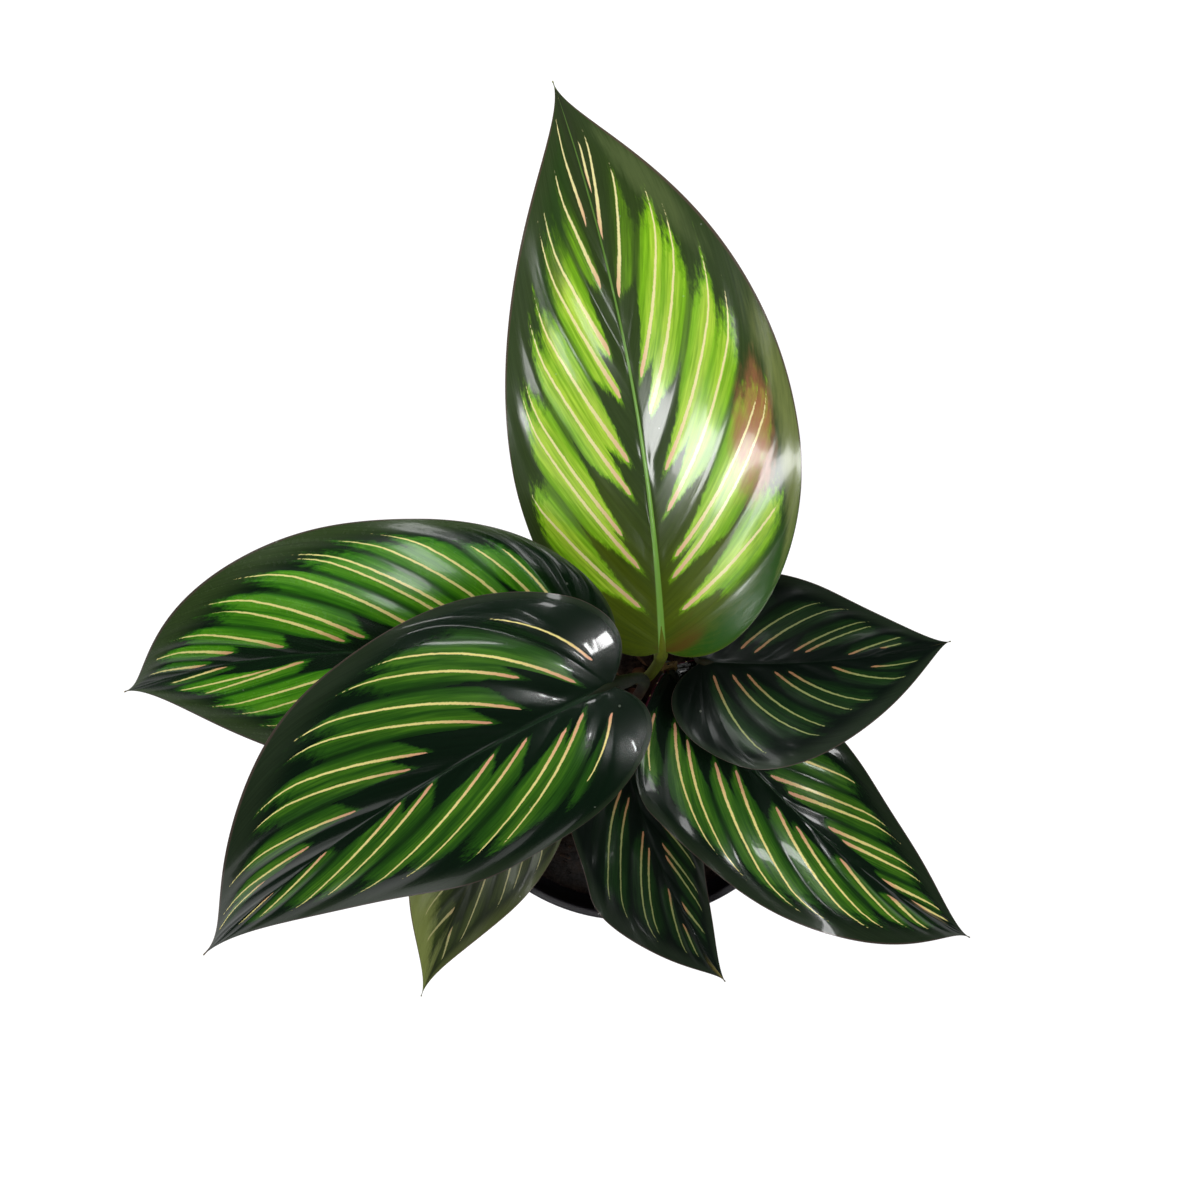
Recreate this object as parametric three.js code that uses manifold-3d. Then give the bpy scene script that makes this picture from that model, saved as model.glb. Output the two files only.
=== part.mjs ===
// A potted beauty star calathea: a black moulded nursery pot, its soil and seven striped leaves.
// Millimetres and degrees. +Z is up, and the origin is the centre of the pot's flat bottom.
// Every leaf grew as one piece: blade, midrib and stem are one solid. Its stem stands in the soil.

import * as THREE from "three";
import { mergeVertices } from "three/addons/utils/BufferGeometryUtils.js";
import Module from "manifold-3d";

// Pot: a 12 cm nursery pot. Its wall steps out to a band under the rim, so that pots stack, and
// the band ends in a bead. Drain holes and their grooves are moulded into the floor.
const POT_HEIGHT = 105;
const POT_BASE_RADIUS = 42;
const POT_LIP_RADIUS = 60;
const POT_LIP_BAND = 10;
const POT_LIP_STEP = 2.4;
const POT_BEAD = 0.6;
const POT_BEAD_HEIGHT = 3.2;
const POT_FOOT_BEVEL = 1.5;
const POT_WALL = 1.2;
const POT_FLOOR = 2;
const POT_SIDES = 56;
const HOLE_SIDES = 16;
const DRAIN_HOLES = 8;
const DRAIN_HOLE_RADIUS = 4;
const DRAIN_RING_RADIUS = 30;
const DRAIN_GROOVE_WIDTH = 5;
const DRAIN_GROOVE_DEPTH = 0.8;
const DRAIN_GROOVE_START = 18;

// Soil: fills the pot to 15 mm under the lip and rises a little round the stems.
const SOIL_LEVEL = 90;
const SOIL_RINGS = 11;
const SOIL_SIDES = 40;
const SOIL_MOUND = 2.5;
const SOIL_MOUND_CENTRE = [2, 11];
const SOIL_MOUND_RADIUS = 20;
const SOIL_LUMP = 0.5;
const SOIL_LUMP_SPACING = 15;
const SOIL_LUMP_SLANT = 1.7;

// The gap between pieces that touch, and how close corners of one mesh count as one.
const GAP = 0.3;
const SAME_PLACE = 1e-4;

// Stems: round, thicker in their sheath at the soil and at the joint under the blade.
const STEM_DEPTH = 22;
const STEM_UPRIGHT = 9;
const STEM_SHEATH = 2.4;
const STEM_SIDES = 8;
const STEM_RINGS_PER_STEP = 3;
const SLIM_STEM = 1.6;
const SWOLLEN_JOINT = 2.0;
const SWOLLEN_JOINT_PLACE = 0.55;
const STEM_END = 0.045;
const STEM_END_RADIUS = 1.0;

// Blades: thin, folded a little along the midrib, their edges waved.
const BLADE_THICKNESS = 0.7;
const MIDRIB_STEPS = 80;
const EDGE_WAVE = 1.4;
const EDGE_WAVES = 2.5;
const EDGE_WAVE_START = 40;
const OTHER_EDGE_SHIFT = 120;
const FOLD = 10;

// Midrib: a rounded rib under the blade, as wide as the stem at the collar and fine at the tip.
// Each row of its section is a share of its half width, with how far it hangs down there in half
// widths. Near the tip it takes no more than a share of the blade's first column.
const MIDRIB_AT_COLLAR = 1.5;
const MIDRIB_AT_TIP = 0.5;
const MIDRIB_SECTION = [[0.6, 1.5], [1, 0]];
const MIDRIB_DEPTH = 1.9;
const MIDRIB_COLUMN_SHARE = 0.6;
const MIDRIB_FADE = 0.1;

// How the side veins run: where each starts on the midrib, and how it sweeps towards the tip.
const VEIN_CROWDING = 2;
const EDGE_CROWDING = 1.8;
const VEIN_LEAN = 0.25;
const VEIN_SPREAD = 0.62;

// The leaves. collar is where the stem meets the blade. heading is the way the blade points,
// anticlockwise from +X, and bend its change on the way to the tip; pitch is its rise over level
// at the collar, and droop how far the tip has turned down; roll lifts its left half, and twist
// is the change in roll. widest is a share of the length; lobe is how far the base pulls back
// behind the collar; base, shoulder and point shape the outline.
const LEAVES = [
  {
    name: "leaf_back",
    root: [3, 16],
    way: [[3, 15.5, 138], [5.5, 18, 151], [7.6, 21.6, 160]],
    collar: [8.5, 25, 166],
    length: 164, leftWidth: 37, rightWidth: 44, widest: 0.35,
    heading: 93, bend: 16, pitch: 20, droop: 26, roll: -10, twist: 9, curl: [12, 8],
    lobe: 9, base: 0.53, shoulder: 0.58, point: 0.09,
    rows: 20, columns: 6, colour: 0x6f9c2c,
  },
  {
    name: "leaf_left",
    root: [-3.5, 13],
    way: [[-4.5, 14.5, 140], [-4.6, 16, 165], [-6, 17.5, 181]],
    collar: [-10, 19, 190],
    length: 154, leftWidth: 41, rightWidth: 38, widest: 0.31,
    heading: 168, bend: 31, pitch: 5, droop: 48, roll: -8, twist: -20, curl: [22, 24],
    lobe: 12, base: 0.65, shoulder: 0.63, point: 0.12,
    rows: 20, columns: 6, colour: 0x24502a,
  },
  {
    name: "leaf_front_left",
    root: [1, 9.5],
    way: [[1, 10, 140], [2.5, 14, 166], [3, 16.8, 182], [0.5, 18.2, 196]],
    collar: [-6.5, 16.5, 206],
    length: 151, leftWidth: 39, rightWidth: 45, widest: 0.31,
    heading: 204, bend: 21, pitch: 7, droop: 47, roll: -23, twist: -18, curl: [26, 24],
    lobe: 24, base: 0.6, shoulder: 0.43, point: 0.17,
    rows: 20, columns: 6, colour: 0x1d4424,
  },
  {
    name: "leaf_right",
    root: [9, 17],
    way: [[13.5, 26.5, 122], [18.4, 27.2, 139]],
    collar: [20.5, 21.5, 150],
    length: 78, leftWidth: 27, rightWidth: 31, widest: 0.22,
    heading: -4, bend: 17, pitch: 10, droop: 42, roll: -3, twist: -10, curl: [18, 22],
    lobe: 22, base: 0.55, shoulder: 0.36, point: 0.11,
    rows: 16, columns: 5, colour: 0x1b3a22,
  },
  {
    name: "leaf_front_right",
    root: [7, 10.5],
    way: [[8.6, 16.5, 118], [10, 19.6, 130]],
    collar: [11, 19.5, 140],
    length: 136, leftWidth: 28, rightWidth: 32, widest: 0.21,
    heading: -54, bend: 25, pitch: 4, droop: 40, roll: -12, twist: -15, curl: [22, 20],
    lobe: -6, base: 0.4, shoulder: 0.66, point: 0.1,
    rows: 18, columns: 5, colour: 0x1f4a28,
  },
  {
    name: "leaf_front",
    root: [1, 3],
    way: [[0.2, -0.5, 115]],
    collar: [-2, -5.5, 130],
    length: 82, leftWidth: 16, rightWidth: 25, widest: 0.42,
    heading: -78, bend: 23, pitch: 0, droop: 26, roll: -24, twist: -6, curl: [40, 18],
    lobe: 4, base: 0.95, shoulder: 0.33, point: 0.08,
    rows: 14, columns: 4, colour: 0x17301f,
  },
  {
    name: "leaf_front_low",
    root: [-6, 6.5],
    way: [[-14, 0.5, 113]],
    collar: [-25, -9, 126],
    length: 87, leftWidth: 18, rightWidth: 24, widest: 0.32,
    heading: 233, bend: 18, pitch: 0, droop: 25, roll: 0, twist: 0, curl: [15, 15],
    lobe: 2, base: 0.76, shoulder: 0.42, point: 0.16,
    rows: 14, columns: 4, colour: 0x56663a,
  },
];

const LEFT = 1;
const RIGHT = -1;

const wasm = await Module();
wasm.setup();

// A closed mesh as a solid that can be joined and cut.
function toSolid(geometry) {
  const bare = geometry.clone();
  bare.deleteAttribute("normal");
  bare.deleteAttribute("uv");
  const merged = mergeVertices(bare, SAME_PLACE);
  const mesh = new wasm.Mesh({
    numProp: 3,
    vertProperties: merged.attributes.position.array,
    triVerts: new Uint32Array(merged.index.array),
  });
  return new wasm.Manifold(mesh);
}

// A solid back as geometry.
function toGeometry(solid) {
  const mesh = solid.getMesh();
  const geometry = new THREE.BufferGeometry();
  geometry.setAttribute("position", new THREE.BufferAttribute(mesh.vertProperties, 3));
  geometry.setIndex(new THREE.BufferAttribute(mesh.triVerts, 1));
  geometry.computeVertexNormals();
  return geometry;
}

// The edge of one half of the flat blade, from the collar (0) past the widest point (0.5) to the
// tip (1). x runs along the midrib and y away from it.
function bladeEdge(leaf, side, share) {
  const width = side === LEFT ? leaf.leftWidth : leaf.rightWidth;
  const widest = leaf.widest * leaf.length;
  if (share < 0.5) {
    return new THREE.CubicBezierCurve(
      new THREE.Vector2(0, 0),
      new THREE.Vector2(-leaf.lobe, width / 2),
      new THREE.Vector2(widest * (1 - leaf.base), width),
      new THREE.Vector2(widest, width),
    ).getPoint(share * 2);
  }
  return new THREE.CubicBezierCurve(
    new THREE.Vector2(widest, width),
    new THREE.Vector2(widest + leaf.shoulder * (leaf.length - widest), width),
    new THREE.Vector2(leaf.length * (1 - leaf.point), 0),
    new THREE.Vector2(leaf.length, 0),
  ).getPoint(share * 2 - 1);
}

// A point on the flat blade. row picks the side vein, 0 at the collar and 1 at the tip, and
// reach is the place on that vein, 0 at the midrib and 1 at the edge.
function flatPoint(leaf, side, row, reach) {
  const start = new THREE.Vector2(leaf.length * row ** VEIN_CROWDING, 0);
  const end = bladeEdge(leaf, side, 1 - (1 - row) ** EDGE_CROWDING);
  const turn = new THREE.Vector2(start.x + VEIN_LEAN * (end.x - start.x), VEIN_SPREAD * end.y);
  return new THREE.QuadraticBezierCurve(start, turn, end).getPoint(reach);
}

// The direction of the midrib at a share of its length.
function midribDirection(leaf, share) {
  const pitch = THREE.MathUtils.degToRad(leaf.pitch - leaf.droop * share);
  const heading = THREE.MathUtils.degToRad(leaf.heading + leaf.bend * share);
  return new THREE.Vector3(
    Math.cos(pitch) * Math.cos(heading),
    Math.cos(pitch) * Math.sin(heading),
    Math.sin(pitch),
  );
}

// Stations along the arched midrib, each with its point, its direction and the blade's own
// sideways and upward directions there.
function midribStations(leaf) {
  const stations = [];
  const point = new THREE.Vector3(...leaf.collar);
  const step = leaf.length / MIDRIB_STEPS;
  for (let i = 0; i <= MIDRIB_STEPS; i++) {
    const share = i / MIDRIB_STEPS;
    const along = midribDirection(leaf, share);
    const level = new THREE.Vector3(-along.y, along.x, 0).normalize();
    const roll = THREE.MathUtils.degToRad(leaf.roll + leaf.twist * share);
    const across = level.applyAxisAngle(along, roll);
    const up = along.clone().cross(across);
    stations.push({ point: point.clone(), along, across, up });
    point.addScaledVector(midribDirection(leaf, (i + 0.5) / MIDRIB_STEPS), step);
  }
  return stations;
}

// The station at a distance from the collar. Behind the collar the first one is carried straight on.
function stationAt(leaf, stations, distance) {
  const place = THREE.MathUtils.clamp(distance / leaf.length, 0, 1) * MIDRIB_STEPS;
  const first = Math.min(Math.floor(place), MIDRIB_STEPS - 1);
  const blended = {};
  for (const key of ["point", "along", "across", "up"]) {
    blended[key] = stations[first][key].clone().lerp(stations[first + 1][key], place - first);
  }
  blended.point.addScaledVector(blended.along, Math.min(distance, 0));
  return blended;
}

// The flat point carried onto the folded, curled and waved blade.
function bladePoint(leaf, stations, side, flat) {
  const station = stationAt(leaf, stations, flat.x);
  const width = (leaf.leftWidth + leaf.rightWidth) / 2;
  const fold = THREE.MathUtils.degToRad(FOLD);
  const bow = THREE.MathUtils.degToRad(side === LEFT ? leaf.curl[0] : leaf.curl[1]) / width;
  const sideways = (Math.sin(fold) - Math.sin(fold - bow * flat.y)) / bow;
  const lift = (Math.cos(fold - bow * flat.y) - Math.cos(fold)) / bow;
  const shift = THREE.MathUtils.degToRad(EDGE_WAVE_START + (side === LEFT ? 0 : OTHER_EDGE_SHIFT));
  const phase = (2 * Math.PI * EDGE_WAVES * flat.x) / leaf.length + shift;
  const wave = EDGE_WAVE * (flat.y / width) ** 2 * Math.sin(phase);
  return station.point
    .clone()
    .addScaledVector(station.across, side * sideways)
    .addScaledVector(station.up, lift + wave);
}

// The midrib's half width at a distance from the collar. It fades out at the very tip.
function midribWidth(leaf, distance) {
  const share = distance / leaf.length;
  const fade = Math.min((1 - share) / MIDRIB_FADE, 1);
  return THREE.MathUtils.lerp(MIDRIB_AT_COLLAR, MIDRIB_AT_TIP, share) * fade;
}

// The flat points of one half row, from beside the midrib to the edge, each with the depth of rib
// under it.
function halfRow(leaf, side, row) {
  const start = leaf.length * row ** VEIN_CROWDING;
  const width = midribWidth(leaf, start);
  const free = flatPoint(leaf, side, row, 1 / leaf.columns);
  const points = MIDRIB_SECTION.map(([share, depth]) => {
    const away = share * Math.min(width, MIDRIB_COLUMN_SHARE * free.y);
    const drift = ((free.x - start) * away) / Math.max(free.y, away);
    return { flat: new THREE.Vector2(start + drift, away), depth: depth * width };
  });
  for (let column = 1; column <= leaf.columns; column++) {
    points.push({ flat: flatPoint(leaf, side, row, column / leaf.columns), depth: 0 });
  }
  return points;
}

// The blade as a thin closed shell with its midrib under it, split into triangles alike on both
// faces.
function bladeGeometry(leaf, stations) {
  const columns = leaf.columns + MIDRIB_SECTION.length;
  const points = [];
  const depths = [];
  const index = new Map();
  const addPoint = (row, column, flat, depth) => {
    const side = column < 0 ? RIGHT : LEFT;
    index.set(row + "," + column, points.length);
    points.push(bladePoint(leaf, stations, side, flat));
    depths.push(depth);
  };
  addPoint(0, 0, new THREE.Vector2(0, 0), 0);
  for (let i = 1; i < leaf.rows; i++) {
    const start = leaf.length * (i / leaf.rows) ** VEIN_CROWDING;
    addPoint(i, 0, new THREE.Vector2(start, 0), MIDRIB_DEPTH * midribWidth(leaf, start));
    for (const side of [LEFT, RIGHT]) {
      halfRow(leaf, side, i / leaf.rows).forEach(({ flat, depth }, j) => {
        addPoint(i, side * (j + 1), flat, depth);
      });
    }
  }
  addPoint(leaf.rows, 0, new THREE.Vector2(leaf.length, 0), 0);
  const at = (row, column) => index.get(row + "," + (row === 0 || row === leaf.rows ? 0 : column));

  const faces = [];
  for (let row = 0; row < leaf.rows; row++) {
    for (let column = -columns; column < columns; column++) {
      const a = at(row, column);
      const b = at(row + 1, column);
      const c = at(row + 1, column + 1);
      const d = at(row, column + 1);
      if (b !== c) {
        faces.push([a, b, c]);
      }
      if (a !== d) {
        faces.push([a, c, d]);
      }
    }
  }
  const rim = [];
  for (let row = 0; row < leaf.rows; row++) {
    rim.push(at(row, -columns));
  }
  for (let row = leaf.rows; row > 0; row--) {
    rim.push(at(row, columns));
  }

  const middle = new THREE.BufferGeometry().setFromPoints(points);
  middle.setIndex(faces.flat());
  middle.computeVertexNormals();
  const half = BLADE_THICKNESS / 2;
  const offset = (i, height) => {
    const normal = new THREE.Vector3().fromBufferAttribute(middle.attributes.normal, i);
    return points[i].clone().addScaledVector(normal, height);
  };
  const upper = points.map((_, i) => offset(i, half));
  const lower = points.map((_, i) => offset(i, -half - depths[i]));
  const count = points.length;
  const shell = [...faces.flat()];
  for (const [a, b, c] of faces) {
    shell.push(a + count, c + count, b + count);
  }
  rim.forEach((a, i) => {
    const b = rim[(i + 1) % rim.length];
    shell.push(b, a, a + count, b, a + count, b + count);
  });
  return new THREE.BufferGeometry().setFromPoints([...upper, ...lower]).setIndex(shell);
}

// A round rod through stops, each a point with the rod's radius there, closed at both ends.
function rodGeometry(stops, sides, ringsPerStep) {
  const curve = new THREE.CatmullRomCurve3(stops.map((stop) => stop.point), false, "centripetal");
  const rings = (stops.length - 1) * ringsPerStep;
  const points = [];
  const side = new THREE.Vector3(1, 0, 0);
  for (let i = 0; i <= rings; i++) {
    const centre = curve.getPoint(i / rings);
    const along = curve.getTangent(i / rings);
    side.addScaledVector(along, -side.dot(along)).normalize();
    const other = along.clone().cross(side);
    const place = Math.min(Math.floor(i / ringsPerStep), stops.length - 2);
    const share = i / ringsPerStep - place;
    const radius = THREE.MathUtils.lerp(stops[place].radius, stops[place + 1].radius, share);
    for (let k = 0; k < sides; k++) {
      const turn = (2 * Math.PI * k) / sides;
      const out = side.clone().multiplyScalar(Math.cos(turn)).addScaledVector(other, Math.sin(turn));
      points.push(centre.clone().addScaledVector(out, radius));
    }
  }
  const foot = points.push(stops[0].point) - 1;
  const head = points.push(stops[stops.length - 1].point) - 1;
  const faces = [];
  for (let k = 0; k < sides; k++) {
    const next = (k + 1) % sides;
    for (let i = 0; i < rings; i++) {
      const a = i * sides + k;
      const b = i * sides + next;
      faces.push(a, b, b + sides, a, b + sides, a + sides);
    }
    faces.push(foot, next, k);
    faces.push(head, rings * sides + k, rings * sides + next);
  }
  return new THREE.BufferGeometry().setFromPoints(points).setIndex(faces);
}

// The stem from inside the soil to the collar, where it runs into the start of the midrib.
function stemGeometry(leaf, stations) {
  const [x, y] = leaf.root;
  const collar = new THREE.Vector3(...leaf.collar);
  const stops = [-STEM_DEPTH, STEM_UPRIGHT / 2, STEM_UPRIGHT].map((height) => ({
    point: new THREE.Vector3(x, y, SOIL_LEVEL + height),
    radius: STEM_SHEATH,
  }));
  for (const stop of leaf.way) {
    stops.push({ point: new THREE.Vector3(...stop), radius: SLIM_STEM });
  }
  const last = new THREE.Vector3(...leaf.way[leaf.way.length - 1]);
  stops.push({ point: last.lerp(collar, SWOLLEN_JOINT_PLACE), radius: SWOLLEN_JOINT });
  const end = stationAt(leaf, stations, STEM_END * leaf.length);
  const depth = BLADE_THICKNESS / 2 + MIDRIB_AT_COLLAR;
  stops.push({ point: collar.clone().addScaledVector(stations[0].up, -depth / 2), radius: SLIM_STEM });
  stops.push({ point: end.point.addScaledVector(end.up, -depth / 2), radius: STEM_END_RADIUS });
  return rodGeometry(stops, STEM_SIDES, STEM_RINGS_PER_STEP);
}

function makeLeaf(leaf) {
  const stations = midribStations(leaf);
  const blade = toSolid(bladeGeometry(leaf, stations));
  const stem = toSolid(stemGeometry(leaf, stations));
  const material = new THREE.MeshStandardMaterial({
    color: leaf.colour,
    roughness: 0.3,
    metalness: 0,
  });
  const mesh = new THREE.Mesh(toGeometry(blade.add(stem)), material);
  mesh.name = leaf.name;
  return mesh;
}

// A turned body: its profile is radius and height, from the axis round and back to the axis.
function turned(profile, sides) {
  const points = profile.map(([radius, height]) => new THREE.Vector2(radius, height));
  return new THREE.LatheGeometry(points, sides).rotateX(Math.PI / 2);
}

// An upright cylinder between two heights, to cut a hole with.
function drill(radius, from, to) {
  const cylinder = new THREE.CylinderGeometry(radius, radius, to - from, HOLE_SIDES);
  return cylinder.rotateX(Math.PI / 2).translate(0, 0, (from + to) / 2);
}

// The wall's outer radius at a height under the lip band.
function potRadius(height) {
  const top = POT_HEIGHT - POT_LIP_BAND;
  const shoulder = POT_LIP_RADIUS - POT_LIP_STEP;
  return THREE.MathUtils.lerp(POT_BASE_RADIUS, shoulder, height / top);
}

function makePot() {
  const band = POT_HEIGHT - POT_LIP_BAND;
  const bead = POT_HEIGHT - POT_BEAD_HEIGHT;
  const inside = (height) => potRadius(height) - POT_WALL;
  let pot = toSolid(turned([
    [0, 0],
    [POT_BASE_RADIUS - POT_FOOT_BEVEL, 0],
    [POT_BASE_RADIUS, POT_FOOT_BEVEL],
    [potRadius(band), band],
    [POT_LIP_RADIUS - 2 * POT_BEAD, band + POT_BEAD],
    [POT_LIP_RADIUS - POT_BEAD, bead],
    [POT_LIP_RADIUS, bead + POT_BEAD],
    [POT_LIP_RADIUS, POT_HEIGHT - POT_BEAD],
    [POT_LIP_RADIUS - POT_BEAD, POT_HEIGHT],
    [POT_LIP_RADIUS - POT_LIP_STEP + POT_BEAD, POT_HEIGHT],
    [POT_LIP_RADIUS - POT_LIP_STEP, POT_HEIGHT - POT_BEAD],
    [POT_LIP_RADIUS - POT_LIP_STEP, band + 2 * POT_WALL],
    [inside(band), band],
    [inside(POT_FLOOR), POT_FLOOR],
    [0, POT_FLOOR],
  ], POT_SIDES));
  for (let i = 0; i < DRAIN_HOLES; i++) {
    const turn = (2 * Math.PI * i) / DRAIN_HOLES;
    const hole = drill(DRAIN_HOLE_RADIUS, -POT_FLOOR, 2 * POT_FLOOR);
    hole.translate(DRAIN_RING_RADIUS, 0, 0).rotateZ(turn);
    const run = POT_BASE_RADIUS + POT_WALL - DRAIN_GROOVE_START;
    const groove = new THREE.BoxGeometry(run, DRAIN_GROOVE_WIDTH, 2 * DRAIN_GROOVE_DEPTH);
    groove.translate(DRAIN_GROOVE_START + run / 2, 0, 0).rotateZ(turn);
    pot = pot.subtract(toSolid(hole)).subtract(toSolid(groove));
  }
  const material = new THREE.MeshStandardMaterial({
    color: 0x15151a,
    roughness: 0.45,
    metalness: 0,
  });
  const mesh = new THREE.Mesh(toGeometry(pot), material);
  mesh.name = "nursery_pot";
  return mesh;
}

// The lumpy top of the soil, as a height over its level.
function soilRelief(x, y) {
  const away = Math.hypot(x - SOIL_MOUND_CENTRE[0], y - SOIL_MOUND_CENTRE[1]) / SOIL_MOUND_RADIUS;
  const turn = (2 * Math.PI) / SOIL_LUMP_SPACING;
  const lumps = Math.sin(turn * x) * Math.sin(turn * y) + Math.sin(turn * (SOIL_LUMP_SLANT * x + y));
  return SOIL_MOUND * Math.exp(-away * away) + SOIL_LUMP * lumps;
}

function makeSoil() {
  const bottom = POT_FLOOR + GAP;
  const radiusAt = (height) => potRadius(height) - POT_WALL - GAP;
  const profile = [[0, bottom], [radiusAt(bottom), bottom], [radiusAt(SOIL_LEVEL), SOIL_LEVEL]];
  const sideProfile = profile.length;
  for (let ring = SOIL_RINGS - 1; ring >= 0; ring--) {
    profile.push([(radiusAt(SOIL_LEVEL) * ring) / SOIL_RINGS, SOIL_LEVEL]);
  }
  const body = turned(profile, SOIL_SIDES);
  const position = body.attributes.position;
  for (let i = 0; i < position.count; i++) {
    if (i % profile.length >= sideProfile) {
      position.setZ(i, SOIL_LEVEL + soilRelief(position.getX(i), position.getY(i)));
    }
  }
  let soil = toSolid(body);
  for (const { root } of LEAVES) {
    const hole = drill(STEM_SHEATH + GAP, SOIL_LEVEL - STEM_DEPTH - GAP, POT_HEIGHT);
    soil = soil.subtract(toSolid(hole.translate(root[0], root[1], 0)));
  }
  const material = new THREE.MeshStandardMaterial({
    color: 0x1d1612,
    roughness: 0.95,
    metalness: 0,
  });
  const mesh = new THREE.Mesh(toGeometry(soil), material);
  mesh.name = "potting_soil";
  return mesh;
}

const plant = new THREE.Group();
plant.add(makePot(), makeSoil());
for (const leaf of LEAVES) {
  plant.add(makeLeaf(leaf));
}

export default plant;
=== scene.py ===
"""A potted beauty star calathea: the looks of its pot, soil and seven striped leaves.

Metres, +Z up, the origin at the centre of the pot's flat bottom. Sizes named _MM are
millimetres, and angles are degrees.
"""

import math

import bmesh
import bpy
import numpy as np
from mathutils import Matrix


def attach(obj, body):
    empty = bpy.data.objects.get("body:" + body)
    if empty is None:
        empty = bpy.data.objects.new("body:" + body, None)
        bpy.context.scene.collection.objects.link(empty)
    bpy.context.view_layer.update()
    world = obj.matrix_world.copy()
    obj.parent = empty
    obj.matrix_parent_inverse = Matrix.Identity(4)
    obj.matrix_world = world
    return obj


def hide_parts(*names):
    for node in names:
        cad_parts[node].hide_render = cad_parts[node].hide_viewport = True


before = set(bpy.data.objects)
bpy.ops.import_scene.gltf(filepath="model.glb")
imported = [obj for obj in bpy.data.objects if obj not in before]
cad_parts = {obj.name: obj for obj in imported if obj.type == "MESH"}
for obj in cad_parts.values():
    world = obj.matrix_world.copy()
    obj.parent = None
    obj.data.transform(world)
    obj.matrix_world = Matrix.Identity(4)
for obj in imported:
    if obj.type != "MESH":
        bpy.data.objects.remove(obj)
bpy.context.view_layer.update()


# Nursery pot
# A 12 cm growing pot, injection moulded in black plastic: a tapered wall that steps out to a
# stacking band, a rolled bead round the rim, and drain holes with grooves in the floor.

MM = 0.001
POT_HEIGHT_MM = 105
POT_BASE_RADIUS_MM = 42
POT_LIP_RADIUS_MM = 60
POT_BAND_MM = 10
POT_STEP_MM = 2.4
POT_BEAD_MM = 0.6
POT_BEAD_HEIGHT_MM = 3.2
POT_BEVEL_MM = 1.5
POT_WALL_MM = 1.2
POT_FLOOR_MM = 2
POT_SEGMENTS = 144
DRAIN_HOLES = 8
DRAIN_HOLE_RADIUS_MM = 4
DRAIN_HOLE_SIDES = 32
DRAIN_RING_RADIUS_MM = 30
DRAIN_GROOVE_WIDTH_MM = 5
DRAIN_GROOVE_DEPTH_MM = 0.8
DRAIN_GROOVE_START_MM = 18
POT_SPLASH_TOP_MM = 88
POT_CLEAN_FROM_MM = 100
POT_MARK_RATE = 4200.0
POT_BLACK = (0.012, 0.011, 0.014, 1)
POT_SCUFF = (0.07, 0.066, 0.075, 1)
POT_DUST = (0.11, 0.085, 0.06, 1)


def pot_radius(height):
    """The wall's outer radius at a height under the stacking band, in millimetres."""
    top = POT_HEIGHT_MM - POT_BAND_MM
    shoulder = POT_LIP_RADIUS_MM - POT_STEP_MM
    return POT_BASE_RADIUS_MM + (shoulder - POT_BASE_RADIUS_MM) * height / top


def inner_radius(height):
    """The wall's inner radius at a height under the stacking band, in millimetres."""
    return pot_radius(height) - POT_WALL_MM


def mesh_from(name, points_mm, faces):
    """A mesh in metres from points in millimetres."""
    mesh = bpy.data.meshes.new(name)
    mesh.from_pydata((np.asarray(points_mm) * MM).tolist(), [], faces)
    mesh.validate()
    mesh.update()
    return mesh


def added(name, mesh):
    """An object that shows the mesh, in the scene."""
    made = bpy.data.objects.new(name, mesh)
    bpy.context.scene.collection.objects.link(made)
    return made


def turned(name, profile, segments):
    """A turned body from a profile of (radius, height) that starts and ends on the axis."""
    rings = profile[1:-1]
    points = [(0, 0, profile[0][1])]
    for radius, height in rings:
        for k in range(segments):
            turn = 2 * math.pi * k / segments
            points.append((radius * math.cos(turn), radius * math.sin(turn), height))
    points.append((0, 0, profile[-1][1]))
    last = len(points) - 1
    faces = []
    for k in range(segments):
        following = (k + 1) % segments
        faces.append((0, 1 + following, 1 + k))
        for ring in range(len(rings) - 1):
            a = 1 + ring * segments
            b = a + segments
            faces.append((a + k, a + following, b + following, b + k))
        end = 1 + (len(rings) - 1) * segments
        faces.append((last, end + k, end + following))
    return mesh_from(name, points, faces)


def box_between(low, high):
    """The corners and faces of a box."""
    corners = [(x, y, z) for x in (low[0], high[0]) for y in (low[1], high[1]) for z in (low[2], high[2])]
    faces = [(0, 1, 3, 2), (4, 6, 7, 5), (0, 4, 5, 1), (2, 3, 7, 6), (0, 2, 6, 4), (1, 5, 7, 3)]
    return np.array(corners, float), faces


def baked_shape(made):
    """Turns the result of an object's modifiers into its plain mesh."""
    graph = bpy.context.evaluated_depsgraph_get()
    mesh = bpy.data.meshes.new_from_object(made.evaluated_get(graph))
    made.modifiers.clear()
    made.data = mesh


def soft_shaded(made, sharp_over):
    """Smooth shading, broken at edges over an angle in degrees."""
    made.data.polygons.foreach_set("use_smooth", [True] * len(made.data.polygons))
    made.data.set_sharp_from_angle(angle=math.radians(sharp_over))
    return made


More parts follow.
